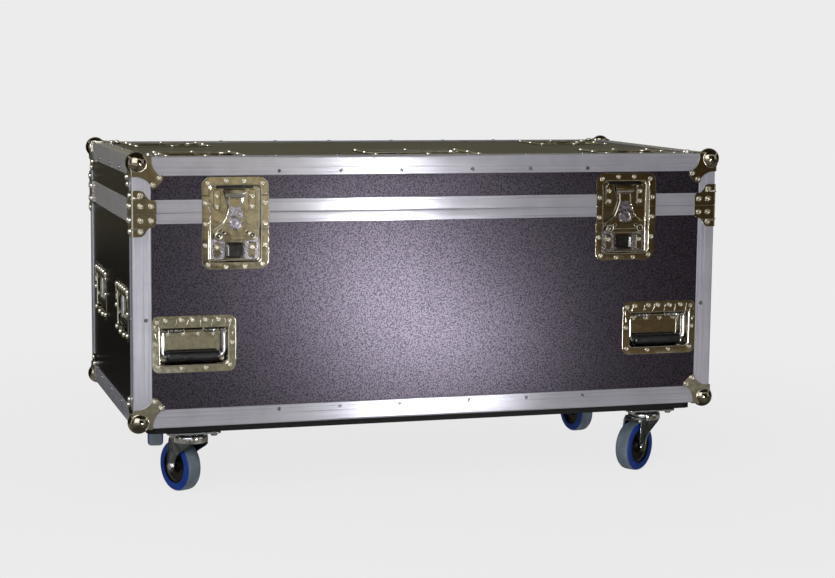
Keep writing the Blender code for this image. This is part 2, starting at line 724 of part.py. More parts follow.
def castor_plate():
    """Top plate with four bolts and the fixed half of the ball race."""
    x, y, thickness = CASTOR_PLATE
    plate = prism(rounded((-x / 2, x / 2), (-y / 2, y / 2), 8.0), -CLEAR - thickness, -CLEAR)
    under = -CLEAR - thickness
    bolts = []
    for sx in (-1, 1):
        for sy in (-1, 1):
            bx, by = sx * CASTOR_BOLTS[0], sy * CASTOR_BOLTS[1]
            bolts.append(cylinder((bx, by, under - 5), (bx, by, under + 1), 7.0, 6))
    profile = [(6.0, under + 1), (33.0, under + 1), (33.0, under - 3), (28.0, under - 6), (6.0, under - 6)]
    return join(plate, *bolts, turned(profile, RACE_FACETS))


def castor_fork():
    """Swivel head, crown, two legs and the axle bolt."""
    under = -CLEAR - CASTOR_PLATE[2] - 6 - 0.5
    axle_z = -(CASTOR_HEIGHT - WHEEL_RADIUS)
    profile = [(6.0, under), (31.0, under), (33.0, under - 4), (33.0, under - 6), (6.0, under - 6)]
    head = turned(profile, RACE_FACETS)
    crown_z = under - 5
    inner, outer = WHEEL_WIDTH / 2 + 2.5, WHEEL_WIDTH / 2 + 5.5
    crown = box((-27, 31), (-outer, outer), (crown_z - 3, crown_z))
    profile = [(-27, crown_z), (31, crown_z), (31, crown_z - 12)]
    profile += arc((CASTOR_TRAIL, axle_z), 12.0, 15, -140, 4)
    profile += [(-14, crown_z - 26), (-27, crown_z - 14)]
    legs = []
    flat = Matrix(((1, 0, 0, 0), (0, 0, 1, 0), (0, 1, 0, 0), (0, 0, 0, 1)))
    for low, high in ((inner, outer), (-outer, -inner)):
        legs.append(moved(prism(profile, low, high), flat))
    axle = cylinder((CASTOR_TRAIL, -outer - 4, axle_z), (CASTOR_TRAIL, outer + 4, axle_z), AXLE_RADIUS, 12)
    heads = []
    for side in (-1, 1):
        heads.append(cylinder((CASTOR_TRAIL, side * (outer - 0.5), axle_z),
                              (CASTOR_TRAIL, side * (outer + 4.5), axle_z), 8.5, 6))
    return join(head, crown, *legs, axle, *heads)


def castor_wheel():
    """Hub, web, side rings and tyre as one turned shape, with a flat facet on the ground."""
    half = WHEEL_WIDTH / 2
    rim = WHEEL_RADIUS / cos(pi / WHEEL_FACETS)
    side = [(AXLE_RADIUS + 0.5, half), (14.0, half), (16.0, half - 5), (35.0, half - 5), (37.5, half),
            (rim - 4.0, half), (rim, half - 5)]
    profile = side + [(r, -z) for r, z in reversed(side)]
    wheel = turned(profile, WHEEL_FACETS, pi / WHEEL_FACETS)
    stand = Matrix(((1, 0, 0, 0), (0, 0, 1, 0), (0, 1, 0, 0), (0, 0, 0, 1)))
    axle_z = -(CASTOR_HEIGHT - WHEEL_RADIUS)
    return moved(wheel, Matrix.Translation((CASTOR_TRAIL, 0, axle_z)) @ stand)


def castors():
    plate, fork, wheel = castor_plate(), castor_fork(), castor_wheel()
    for name, (side, y, trail) in CASTORS.items():
        foot = Matrix.Translation((side * CASTOR_X, y, -BOARD))
        swivel = foot @ Matrix.Rotation(radians(trail), 4, "Z")
        axle = swivel @ Vector((CASTOR_TRAIL, 0, -(CASTOR_HEIGHT - WHEEL_RADIUS)))
        piece(f"castor_plate_{name}", copy_of(plate, foot), "zinc")
        piece(f"castor_fork_{name}", copy_of(fork, swivel), "zinc", foot.translation)
        piece(f"castor_wheel_{name}", copy_of(wheel, swivel), "wheel", axle)
    for shape in (plate, fork, wheel):
        drop(shape)


def main():
    for item in list(bpy.data.objects):
        bpy.data.objects.remove(item)
    panels()
    castor_board()
    piece("base_edge_frame", cage((0.0, SPLIT - BASE_RIM_HEIGHT - CLEAR), 0.0), "aluminium")
    rim("base_rim", -1, BASE_RIM_HEIGHT)
    lid_shell()
    piece("lid_edge_frame", cage((SPLIT + LID_RIM_HEIGHT + CLEAR, HEIGHT), HEIGHT), "aluminium")
    rim("lid_rim", 1, LID_RIM_HEIGHT)
    ball_corners()
    hinge()
    latches()
    handles()
    lid_dishes()
    castors()


main()
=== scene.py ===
# %% [markdown]
# # Four-way tour pack case
# A touring crew's trunk: laminated plywood walls held together by riveted aluminium edging, a lid that
# meets the base in a tongue and groove, and steel fittings let into the walls so that nothing sticks out.
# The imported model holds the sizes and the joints. This notebook dresses it: each cell makes one kind of
# piece, and each piece rides on the body that carries it.

# %% Load the frame
import bmesh
import bpy
import json
from math import asin, cos, degrees, pi, radians, sin, sqrt
from mathutils import Matrix, Vector


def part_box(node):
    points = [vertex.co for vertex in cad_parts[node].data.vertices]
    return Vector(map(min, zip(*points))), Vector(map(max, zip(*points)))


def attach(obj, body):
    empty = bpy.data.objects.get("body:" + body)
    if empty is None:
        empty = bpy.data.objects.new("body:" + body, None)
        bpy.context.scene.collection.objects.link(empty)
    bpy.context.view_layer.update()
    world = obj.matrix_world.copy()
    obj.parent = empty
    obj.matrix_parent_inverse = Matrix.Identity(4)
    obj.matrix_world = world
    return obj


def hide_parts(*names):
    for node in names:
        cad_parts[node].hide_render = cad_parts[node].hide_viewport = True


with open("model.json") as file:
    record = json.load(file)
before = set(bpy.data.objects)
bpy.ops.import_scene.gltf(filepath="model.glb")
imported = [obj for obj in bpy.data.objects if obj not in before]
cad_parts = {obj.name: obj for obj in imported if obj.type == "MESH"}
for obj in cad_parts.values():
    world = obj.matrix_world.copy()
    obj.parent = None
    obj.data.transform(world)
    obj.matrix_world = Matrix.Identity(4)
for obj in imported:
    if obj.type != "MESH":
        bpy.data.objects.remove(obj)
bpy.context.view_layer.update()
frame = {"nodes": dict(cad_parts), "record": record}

# %% [markdown]
# ## Working in millimetres
# Case makers think in millimetres from the underside of the box, so the forms are drawn that way and
# one matrix takes them to the frame's metres, with the castors on the ground. The main sizes are read from
# the frame's own pieces. The rest are the thicknesses and radii that sheet metal and extrusions have.

# %% Sizes
MM = 0.001
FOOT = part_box("base_edge_frame")[0].z / MM
TO_METRES = Matrix.Scale(MM, 4) @ Matrix.Translation((0, 0, FOOT))


def box_mm(name):
    """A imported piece's low corner, high corner and middle, in millimetres from the case's underside."""
    low, high = (corner / MM - Vector((0, 0, FOOT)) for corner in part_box(name))
    return low, high, (low + high) / 2


CLEAR = 0.3
HALF_X, HALF_Y, _ = (box_mm("base_edge_frame")[1] - box_mm("base_edge_frame")[0]) / 2
HEIGHT = box_mm("lid_edge_frame")[1].z
SPLIT = box_mm("base_rim")[1].z + CLEAR / 2
BASE_RIM = 20.0
LID_RIM = 25.5
LEG = 36.0
ANGLE = 2.1
LAMINATE = ANGLE + CLEAR
PANEL = 9.0
PLATE = 1.6
SHEET = 1.2
CORNERS = [(depth, side) for depth in ("front", "rear") for side in ("left", "right")]
SIGN = {"front": -1, "rear": 1, "left": -1, "right": 1}
UP = Vector((0, 0, 1))
print(f"case {2 * HALF_X:.1f} x {2 * HALF_Y:.1f} x {HEIGHT:.1f} mm, split at {SPLIT:.1f} mm")

# %% [markdown]
# ## The camera
# The photograph was taken from the left of the front, a little above the lid, with a long lens. The place
# and the angles were fitted to the case's own corners, so the camera can be written down as it stood.

# %% Camera
CAMERA_PLACE = (-1.12902, -3.8209, 0.86463)
YAW, PITCH, ROLL = radians(17.21), radians(7.22), radians(0.60)
LENS = 81.29
FILM = 36.0


def in_scene(name, data):
    made = bpy.data.objects.new(name, data)
    bpy.context.scene.collection.objects.link(made)
    return made


def photo_camera():
    ahead = Vector((sin(YAW) * cos(PITCH), cos(YAW) * cos(PITCH), -sin(PITCH)))
    level = Vector((cos(YAW), -sin(YAW), 0))
    above = level.cross(ahead)
    right = level * cos(ROLL) + above * sin(ROLL)
    up = above * cos(ROLL) - level * sin(ROLL)
    camera = in_scene("photo_camera", bpy.data.cameras.new("photo_camera"))
    camera.data.lens = LENS
    camera.data.sensor_fit = "HORIZONTAL"
    camera.data.sensor_width = FILM
    turn = Matrix((right, up, -ahead)).transposed().to_4x4()
    camera.matrix_world = Matrix.Translation(CAMERA_PLACE) @ turn
    bpy.context.scene.camera = camera
    return camera


print("camera at", tuple(round(value, 2) for value in photo_camera().location), "m")

# %% [markdown]
# ## Nodes and colours
# Shader trees and geometry trees are built the same way: add a node, set its options, and give each input
# either a value or another node's output. One small function does that for both. Colours are written as the
# sRGB codes that a paint chart gives, and turned into the linear numbers that a shader wants.

# %% Node and colour helpers
def feed(tree, made, inputs):
    """Give a node's inputs, by name or number, a value or another node's output."""
    for label, value in inputs.items():
        if isinstance(value, bpy.types.NodeSocket):
            tree.links.new(value, made.inputs[label])
        else:
            made.inputs[label].default_value = value


def node(tree, kind, inputs=None, **settings):
    """Add a node with its settings and its inputs."""
    made = tree.nodes.new(kind)
    for label, value in settings.items():
        setattr(made, label, value)
    feed(tree, made, inputs or {})
    return made


def colour(code):
    """An sRGB hex code as linear red, green, blue and alpha."""
    channels = [int(code[i:i + 2], 16) / 255 for i in (1, 3, 5)]
    return (*[c / 12.92 if c <= 0.04045 else ((c + 0.055) / 1.055) ** 2.4 for c in channels], 1.0)


def new_material(name):
    made = bpy.data.materials.new(name)
    made.use_nodes = True
    tree = made.node_tree
    tree.nodes.clear()
    shader = node(tree, "ShaderNodeBsdfPrincipled")
    node(tree, "ShaderNodeOutputMaterial", {"Surface": shader.outputs["BSDF"]})
    return made, tree, shader, node(tree, "ShaderNodeTexCoord").outputs["Object"]


print("white in linear numbers:", colour("#ffffff"))

# %% Pattern helpers
def noise(tree, where, millimetres, detail, **more):
    """A noise whose features are about this many millimetres across."""
    inputs = {"Vector": where, "Scale": 1 / (millimetres * MM), "Detail": detail, **more}
    return node(tree, "ShaderNodeTexNoise", inputs).outputs["Fac"]


def stretched(tree, where, scale):
    return node(tree, "ShaderNodeMapping", {"Vector": where, "Scale": scale}).outputs["Vector"]


def between(tree, value, low_in, high_in, low_out=0.0, high_out=1.0):
    """Stretch part of a pattern's range to a new range."""
    limits = {"Value": value, "From Min": low_in, "From Max": high_in, "To Min": low_out, "To Max": high_out}
    return node(tree, "ShaderNodeMapRange", limits).outputs["Result"]


def blended(tree, factor, *tones):
    """Mix two colours, each a hex code or another node's output, by a pattern."""
    first, second = [colour(tone) if isinstance(tone, str) else tone for tone in tones]
    return node(tree, "ShaderNodeMix", {"Factor": factor, 6: first, 7: second}, data_type="RGBA").outputs[2]


def bump(tree, height, strength, millimetres):
    """A normal that leans as if the pattern's hills stood this many millimetres high."""
    inputs = {"Height": height, "Strength": strength, "Distance": millimetres * MM}
    return node(tree, "ShaderNodeBump", inputs).outputs["Normal"]


print("five pattern helpers ready")

# %% [markdown]
# ## Stippled laminate
# The walls are plywood faced with a phenolic laminate, pressed against a coarse plate so that it comes out
# stippled. Its little hills catch the light, which reads as pale grains on a near-black ground; those pale
# grains are painted highlights in the base colour. One noise makes the painted highlights, the gloss and the
# bump, so light and relief agree, and a slow one varies the ground.

# %% Laminate
STIPPLE = 2.7


def stippled_laminate():
    made, tree, shader, here = new_material("stippled_laminate")
    grain = noise(tree, here, STIPPLE, 3.0, Roughness=0.6)
    ground = blended(tree, noise(tree, here, 180, 2.0), "#040305", "#08070a")
    spots = between(tree, grain, 0.40, 0.56)
    feed(tree, shader, {
        # painted highlight: the grains' tops are lighter in the base colour
        "Base Color": blended(tree, spots, ground, "#19161d"),
        "Roughness": 0.28,
        "Specular IOR Level": between(tree, spots, 0.0, 1.0, 0.26, 0.75),
        "Specular Tint": colour("#e4d8f2"),
        "Normal": bump(tree, grain, 1.0, 0.11)})
    return made


LAMINATED = stippled_laminate()
print("made", LAMINATED.name)

# %% [markdown]
# ## Bare metals
# Anodised aluminium is satin: the extrusion die leaves fine lines along its length, so its pattern follows
# the piece's own map, where the first number runs lengthwise. Nickel-plated sheet is bright but never quite
# flat, so a slow ripple bends its reflections. Chrome is the brightest mirror, and zinc plate the dullest.

# %% Metals
def anodised_aluminium():
    made, tree, shader, here = new_material("anodised_aluminium")
    along = node(tree, "ShaderNodeUVMap").outputs["UV"]
    lines = noise(tree, stretched(tree, along, (0.004, 0.55, 1.0)), 1000, 3.0)
    haze = between(tree, noise(tree, here, 60, 3.0), 0.4, 0.7, 0.0, 0.25)
    tone = blended(tree, lines, "#a2a2ad", "#c6c6d1")
    feed(tree, shader, {
        "Base Color": blended(tree, haze, tone, "#85858c"),
        "Metallic": 0.5,
        "Roughness": between(tree, lines, 0.3, 0.7, 0.15, 0.22),
        "Normal": bump(tree, lines, 0.25, 0.15),
        "Anisotropic": 0.7,
        "Anisotropic Rotation": 0.25,
        "Tangent": node(tree, "ShaderNodeTangent", direction_type="UV_MAP").outputs["Tangent"]})
    return made


def plated(name, pale, dull, roughness, ripple, mottle=14.0):
    """Plated steel: two tints in slow patches, a spread of roughness, and a ripple of some millimetres."""
    made, tree, shader, here = new_material(name)
    patch = noise(tree, here, mottle, 4.0)
    feed(tree, shader, {
        "Base Color": blended(tree, between(tree, patch, 0.35, 0.7), pale, dull),
        "Metallic": 1.0,
        "Roughness": between(tree, patch, 0.3, 0.7, roughness * 0.7, roughness * 1.4),
        "Normal": bump(tree, noise(tree, here, 22, 1.0), ripple, 0.6)})
    return made


ALUMINIUM = anodised_aluminium()
NICKEL = plated("nickel_plated_steel", "#c8c4b8", "#aaa596", 0.10, 0.5)
CHROME = plated("chrome_plated_steel", "#c9c9cc", "#a9a9ad", 0.08, 0.3)
ZINC = plated("zinc_plated_steel", "#b6bbc2", "#8e939b", 0.2, 0.5, 6.0)
RIVET_STEEL = plated("bright_rivet_steel", "#e9e6dd", "#cfcbc0", 0.2, 0.0)
# The balls' nickel is a darker copy of the nickel: painted dark reflection, so that the polished balls read
# dark.
BALL_NICKEL_PAINTED_DARK = plated("polished_nickel_painted_dark", "#8f897d", "#756f60", 0.06, 0.2)
FORK_STEEL = plated("oiled_fork_steel", "#6f767c", "#42484e", 0.16, 0.8)
# The rail rivets' steel is a darker copy of the rivet steel: painted shade.
RAIL_RIVET_STEEL_PAINTED_SHADE = plated("rivet_steel_painted_shade", "#96969c", "#6c6c72", 0.25, 0.0)
SATIN = plated("satin_chrome_steel", "#8f8c94", "#6f6c74", 0.24, 0.6, 5.0)
print("nine metals made")

# %% [markdown]
# ## Rubber, nylon, paint and felt
# These are all dark and differ by how they scatter light. Moulded rubber is even with a soft highlight,
# nylon is smoother, painted plywood shows its grain through the coat, and needle-felt carpet is fibres in
# every direction with a bright fringe where it is seen edge on, which is what sheen is for.

# %% Other finishes
def moulded(name, tint, worn, roughness, pores, specular=0.5):
    """Rubber or plastic from a mould: even colour, fine pores and a few rubbed patches."""
    made, tree, shader, here = new_material(name)
    rub = noise(tree, here, 18, 5.0)
    feed(tree, shader, {
        "Base Color": blended(tree, between(tree, rub, 0.45, 0.75), tint, worn),
        "Roughness": between(tree, rub, 0.3, 0.7, roughness * 0.85, roughness * 1.15),
        "Specular IOR Level": specular,
        "Normal": bump(tree, noise(tree, here, pores, 2.0), 0.4, 0.15)})
    return made


def painted_plywood():
    made, tree, shader, here = new_material("black_painted_plywood")
    grain = noise(tree, stretched(tree, here, (0.06, 1.0, 1.0)), 3.5, 5.0)
    feed(tree, shader, {
        "Base Color": blended(tree, grain, "#070708", "#131316"),
        "Roughness": 0.65,
        "Specular IOR Level": 0.2,
        "Normal": bump(tree, grain, 0.5, 0.3)})
    return made


def needle_felt():
    made, tree, shader, here = new_material("needle_felt_carpet")
    fibre = noise(tree, here, 1.6, 6.0, Roughness=0.75, Distortion=1.5)
    feed(tree, shader, {
        "Base Color": blended(tree, between(tree, fibre, 0.35, 0.7), "#1b1b1e", "#4a4a50"),
        "Roughness": 0.95,
        "Sheen Weight": 0.4,
        "Normal": bump(tree, fibre, 1.0, 0.8)})
    return made


GRIP_RUBBER = moulded("moulded_black_rubber", "#0a0b0d", "#14151a", 0.3, 1.2)
BLUE_RUBBER = moulded("blue_elastic_rubber", "#002872", "#003384", 0.5, 1.5, specular=0.25)
TREAD_RUBBER = moulded("grey_tread_rubber", "#4e5a65", "#626e78", 0.6, 2.0)
NYLON = moulded("black_nylon", "#070708", "#0e0e10", 0.34, 2.5)
# Black for painted shade: the dark slots, holes and scoop are drawn as black pieces in it.
SHADOW_PAINT = moulded("black_painted_shade", "#050506", "#0a0a0c", 0.2, 9.0)
BOARD_PAINT = painted_plywood()
FELT = needle_felt()

# %% [markdown]
# ## Drawing forms
# Nearly everything here is one of five forms: an outline given a thickness, a row of rings joined by quads,
# an outline spun about an axis, a section swept along an edge, or a round rod. Each is a few lines of mesh
# code that adds to a form under construction, so a piece can be several forms together.

# %% Form helpers
def loft(bm, rings, closed=True, caps=False):
    """Join rings of points with quads; caps closes the first and the last ring."""
    rows = [[bm.verts.new(point) for point in ring] for ring in rings]
    for row, following in zip(rows, rows[1:]):
        count = len(row)
        for i in range(count if closed else count - 1):
            j = (i + 1) % count
            bm.faces.new((row[i], row[j], following[j], following[i]))
    if caps:
        bm.faces.new(list(reversed(rows[0])))
        bm.faces.new(rows[-1])
    return rows


def placed(points, place):
    return [place @ Vector(point) for point in points]


def prism(bm, outline, low_z, high_z, place=Matrix()):
    """An outline in X and Y with a thickness in Z."""
    loft(bm, [placed([(x, y, z) for x, y in outline], place) for z in (low_z, high_z)], caps=True)


def block(bm, x, y, z):
    """A square block, given its span in each direction."""
    prism(bm, [(x[0], y[0]), (x[1], y[0]), (x[1], y[1]), (x[0], y[1])], *z)


def turned(bm, profile, facets, place=Matrix()):
    """A closed outline of (radius, z) points spun about Z."""
    angles = [2 * pi * step / facets for step in range(facets + 1)]
    loft(bm, [placed([(r * cos(a), r * sin(a), z) for r, z in profile], place) for a in angles])


def arc(centre, radius, start, end, steps):
    """Points on a circle from start to end, in degrees."""
    angles = [radians(start + (end - start) * i / steps) for i in range(steps + 1)]
    return [(centre[0] + radius * cos(a), centre[1] + radius * sin(a)) for a in angles]


def rounded(x, y, radius, steps=6, marks=()):
    """A rectangle with round corners; marks are heights that get a point on both upright sides."""
    left, right, bottom, top = x[0] + radius, x[1] - radius, y[0] + radius, y[1] - radius
    points = arc((right, bottom), radius, -90, 0, steps) + [(x[1], mark) for mark in marks]
    points += arc((right, top), radius, 0, 90, steps) + arc((left, top), radius, 90, 180, steps)
    points += [(x[0], mark) for mark in reversed(marks)]
    return points + arc((left, bottom), radius, 180, 270, steps)


def tube(bm, points, radius, sides=8, guide=lambda point: UP, closed=False):
    """A round rod along points; guide gives a direction across the rod at each point."""
    points = [Vector(point) for point in points]
    rings = []
    for i, point in enumerate(points):
        before = points[i - 1] if i or closed else point
        after = points[(i + 1) % len(points)] if i + 1 < len(points) or closed else point
        along = (after - before).normalized()
        side = along.cross(guide(point)).normalized()
        other = side.cross(along)
        angles = [2 * pi * k / sides for k in range(sides)]
        rings.append([point + (side * cos(a) + other * sin(a)) * radius for a in angles])
    if closed:
        rings.append(rings[0])
    loft(bm, rings, caps=not closed)


def rod(bm, start, end, radius, facets=24, chamfer=0.6, place=Matrix()):
    """A straight bar with its end edges taken off."""
    start, end = Vector(start), Vector(end)
    reach = (end - start).length
    turn = (end - start).to_track_quat("Z", "Y").to_matrix().to_4x4()
    profile = [(0, 0), (radius - chamfer, 0), (radius, chamfer), (radius, reach - chamfer),
               (radius - chamfer, reach), (0, reach)]
    turned(bm, profile, facets, place @ Matrix.Translation(start) @ turn)


def span(side, near, far):
    """A stretch of X on the left (-1) or the right (1), lowest first."""
    return sorted((side * near, side * far))


print("form helpers ready")

# %% [markdown]
# ## From a form to a piece
# A form is drawn in the axes of its own face or corner. Finishing it moves it into place, gives sheet its
# thickness and edges their small bevel, and applies both, so that each piece is one plain mesh on one body.
# Edges that turn by more degrees than the two SHARP numbers stay sharp. Rivets are only noted while the
# pieces are made, because they are all grown together later on.

# %% Piece helpers
SHARP, SHARP_WHEN_BEVELLED = 35, 50
RIVETS = {"base": [], "lid": []}
RAIL_RIVETS = {"base": [], "lid": []}


def facing(origin, outward):
    """Axes of a face: X to the right, Y up (or rearwards on top), Z outwards."""
    outward = Vector(outward)
    up = Vector((0, 1, 0)) if outward.z else UP
    turn = Matrix((up.cross(outward), up, outward)).transposed().to_4x4()
    return Matrix.Translation(origin) @ turn


def modify(piece, kind, **settings):
    made = piece.modifiers.new(kind.lower(), kind)
    for label, value in settings.items():
        setattr(made, label, value)
    return made


def made_plain(piece, smooth):
    """Apply what the modifiers do; flat faces stay flat beside round edges, and sharp edges sharp."""
    for step in ("forms", "normals"):
        drawn = piece.data
        bpy.context.view_layer.update()
        plain = bpy.data.meshes.new_from_object(piece.evaluated_get(bpy.context.evaluated_depsgraph_get()))
        plain.name = piece.name
        piece.modifiers.clear()
        piece.data = plain
        bpy.data.meshes.remove(drawn)
        if step == "forms":
            plain.shade_smooth()
            plain.set_sharp_from_angle(angle=radians(smooth))
            modify(piece, "WEIGHTED_NORMAL", keep_sharp=True)


def settle(piece, body, smooth=SHARP):
    made_plain(piece, smooth)
    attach(piece, body)


def finish(name, draws, paint, body, stands_for=(), place=Matrix(), closed=True, wall=0.0, bevel=0.0):
    """Let each function in draws add to a form in millimetres, and make the form a piece on a body."""
    bm = bmesh.new()
    for draw in draws:
        draw(bm)
    bmesh.ops.remove_doubles(bm, verts=bm.verts, dist=0.002)
    if closed:
        bmesh.ops.recalc_face_normals(bm, faces=bm.faces)
    matrix = TO_METRES @ place
    bmesh.ops.transform(bm, matrix=matrix, verts=bm.verts)
    if matrix.determinant() < 0:
        bmesh.ops.reverse_faces(bm, faces=bm.faces)
    mesh = bpy.data.meshes.new(name)
    bm.to_mesh(mesh)
    bm.free()
    mesh.materials.append(paint)
    piece = in_scene(name, mesh)
    if wall:
        modify(piece, "SOLIDIFY", thickness=wall * MM, offset=-1)
    if bevel:
        modify(piece, "BEVEL", width=bevel * MM, segments=2, limit_method="ANGLE", angle_limit=radians(40))
    settle(piece, body, SHARP_WHEN_BEVELLED if bevel else SHARP)
    if stands_for:
        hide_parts(*stands_for)


def rivet(body, point, place=Matrix(), outward=UP, radius=4.9, kind=RIVETS):
    """Note where a rivet goes; all of them are made together later on."""
    kind[body].append((place @ Vector(point), (place.to_3x3() @ Vector(outward)).normalized(), radius))


print("piece helpers ready")

# %% [markdown]
# ## Walls and board
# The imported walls, the lid's shell and the castor board already have their true shape, so they stay as they
# are and only get their finish.

# %% Laminate on the walls
FINISHES = {f"base_{part}_panel": LAMINATED for part in ("front", "rear", "left", "right", "floor")}
FINISHES |= {"lid_shell": LAMINATED, "castor_board": BOARD_PAINT}
for name, paint in FINISHES.items():
    wall_mesh = frame["nodes"][name].data
    wall_mesh.materials.clear()
    wall_mesh.materials.append(paint)
print(len(FINISHES), "packed pieces finished")

# %% [markdown]
# ## Edge extrusions
# The case's edges are angle extrusions. The section is drawn once: two legs, a rounded outer edge, a pair of
# grooves in each leg and a chamfered tip. It is then swept along the bottom edges, the top edges and the four
# uprights of each half. Sweeping a section gives each bar a map whose first number runs along the bar, which
# is what the drawn lines of the finish follow. The bars stop short of the corners, as real ones do, because
# the ball corners cover them.

# %% Section and sweep
EDGE_RADIUS = 3.4
GROOVES = (21.0, 30.0)
GROOVE_TOP, GROOVE_FLOOR, GROOVE_CUT = 0.9, 0.35, 0.55


def angle_section():
    """Two legs from tip to corner, each point a distance from the edge and a depth under the face."""
    leg = [(LEG, ANGLE), (LEG, 0.9), (LEG - 0.9, 0.0)]
    for middle in reversed(GROOVES):
        leg += [(middle + GROOVE_TOP, 0.0), (middle + GROOVE_FLOOR, GROOVE_CUT)]
        leg += [(middle - GROOVE_FLOOR, GROOVE_CUT), (middle - GROOVE_TOP, 0.0)]
    corner = arc((EDGE_RADIUS, EDGE_RADIUS), EDGE_RADIUS, 270, 180, 6)
    inner = [(ANGLE, ANGLE + 0.8), (ANGLE + 0.8, ANGLE)]
    return leg + corner + [(b, a) for a, b in reversed(leg)] + inner


def sweep(bm, section, frames):
    """Carry a section along frames of (origin, first axis, second axis), and map it in millimetres."""
    layer = bm.loops.layers.uv.verify()
    rings = [[Vector(o) + Vector(p) * a + Vector(q) * b for a, b in section] for o, p, q in frames]
    rows = loft(bm, rings, caps=True)
    across = [0.0]
    for (a, b), (c, d) in zip(section, section[1:] + section[:1]):
        across.append(across[-1] + sqrt((c - a) ** 2 + (d - b) ** 2))
    along = [0.0]
    for (start, _, _), (end, _, _) in zip(frames, frames[1:]):
        along.append(along[-1] + (Vector(end) - Vector(start)).length)
    number = {vert: (i, k) for i, row in enumerate(rows) for k, vert in enumerate(row)}
    for face in {face for row in rows for vert in row for face in vert.link_faces}:
        spots = [number[loop.vert] for loop in face.loops]
        wraps = {k for _, k in spots} == {0, len(section) - 1}
        for loop, (i, k) in zip(face.loops, spots):
            loop[layer].uv = (along[i], across[len(section) if wraps and k == 0 else k])


print("the section has", len(angle_section()), "points")

# %% Base and lid frames
def edge_bars(bm, z_edge, z_upright, z_end):
    """Four bars along one end of the box and four uprights, as a frame."""
    inward = (0, 0, 1 if z_end > z_edge else -1)
    stop_x, stop_y = HALF_X - LEG - CLEAR, HALF_Y - LEG - CLEAR
    section = angle_section()
    for sign in (-1, 1):
        sweep(bm, section, [((x, sign * HALF_Y, z_edge), (0, -sign, 0), inward) for x in (-stop_x, stop_x)])
        sweep(bm, section, [((sign * HALF_X, y, z_edge), (-sign, 0, 0), inward) for y in (-stop_y, stop_y)])
        for other in (-1, 1):
            sweep(bm, section, [((sign * HALF_X, other * HALF_Y, z), (-sign, 0, 0), (0, -other, 0))
                                for z in (z_upright, z_end)])


RUNS = {"base": (0.0, LEG + CLEAR, SPLIT - BASE_RIM - CLEAR),
        "lid": (HEIGHT, HEIGHT - LEG - CLEAR, SPLIT + LID_RIM + CLEAR)}
for level, run in RUNS.items():
    finish(f"{level}_edge_extrusions", [lambda bm: edge_bars(bm, *run)], ALUMINIUM, level,
           [f"{level}_edge_frame"])
print("16 edge extrusions swept")

# %% [markdown]
# ## The closing rims
# Where the lid meets the base, a second pair of extrusions runs round the case: the base's has a groove and
# the lid's a tongue that drops into it and keeps out rain. The section holds the panel between an outer and
# an inner leaf. The front runs are broken at the two latches, whose dishes pass right through.

# %% Rims
RIM_WEB = 8.6
RIM_INSIDE = LAMINATE + PANEL + CLEAR
TONGUE = (6.2, 8.2)
GROOVE = (4.9, 9.5)
LATCH_X = box_mm("latch_dish_right")[2].x
LATCH_GAP = 51.2


def rim_section(sign, height):
    """Depth in from the case's face and distance from the split."""
    near = CLEAR / 2
    outer = [(ANGLE, height), (0.6, height), (0.0, height - 0.6), (0.0, height - 4.0), (0.5, height - 4.6),
             (0.5, height - 5.4), (0.0, height - 6.0), (0.0, near + 2.2)]
    inner = [(RIM_INSIDE + 1.4, near), (RIM_INSIDE + 2.0, near + 0.6), (RIM_INSIDE + 2.0, height),
             (RIM_INSIDE, height), (RIM_INSIDE, near + RIM_WEB), (ANGLE, near + RIM_WEB)]
    if sign < 0:
        groove = [(GROOVE[0], near), (GROOVE[0], 4.9), (GROOVE[1], 4.9), (GROOVE[1], near)]
        return outer + [(0.7, near)] + groove + inner
    lip = arc((0.2, near + 1.2), 0.9, 130, 230, 4)
    tongue = [(TONGUE[0], near), (TONGUE[0] + 0.3, -3.9), (TONGUE[1] - 0.3, -3.9), (TONGUE[1], near)]
    return outer + lip + [(0.7, near)] + tongue + inner


def rim(bm, sign, height):
    section = rim_section(sign, height)
    up = (0, 0, sign)
    corners = ((1, -1), (1, 1), (-1, 1), (-1, -1))
    turns = [((x * HALF_X, y * HALF_Y, SPLIT), (-x, -y, 0), up) for x, y in corners]

    def on_front(x):
        return ((x, -HALF_Y, SPLIT), (0, 1, 0), up)

    sweep(bm, section, [on_front(LATCH_X + LATCH_GAP), *turns, on_front(-LATCH_X - LATCH_GAP)])
    sweep(bm, section, [on_front(LATCH_GAP - LATCH_X), on_front(LATCH_X - LATCH_GAP)])


finish("base_groove_rim", [lambda bm: rim(bm, -1, BASE_RIM)], ALUMINIUM, "base", ["base_rim"])
finish("lid_tongue_rim", [lambda bm: rim(bm, 1, LID_RIM)], ALUMINIUM, "lid", ["lid_rim"])
print("rims swept, broken at x =", round(LATCH_X, 1), "+/-", LATCH_GAP)

# %% [markdown]
# ## Corner braces
# The rims are held at the four upright edges by pressed steel braces, one half on the base and one on the
# lid. A brace is flat sheet bent round the edge, so it is drawn as a grid: each row has a height and a half
# width, and a function wraps the width round the bend. Solidify then gives the sheet its thickness.

# %% Braces
BEND = 4.0
QUARTER = BEND * pi / 4
OFF_FACE = CLEAR + PLATE
BRACE_RIVETS = ((16, 34), (16, 13.5), (36, 13.5))


def corner_place(depth, side, z, sz=1):
    """Axes at a corner of the case, with X and Y inwards along the walls."""
    sx, sy = SIGN[side], SIGN[depth]
    return Matrix.Translation((sx * HALF_X, sy * HALF_Y, z)) @ Matrix.Diagonal((-sx, -sy, sz, 1))


def wrapped(distance, z):
    """A point on sheet bent round the upright edge at x = y = 0, by its distance from the edge."""
    middle = BEND - OFF_FACE
    if abs(distance) <= QUARTER:
        turn = pi / 4 - distance / BEND
        return (middle - BEND * sin(turn), middle - BEND * cos(turn), z)
    run = middle + abs(distance) - QUARTER
    return (run, -OFF_FACE, z) if distance > 0 else (-OFF_FACE, run, z)


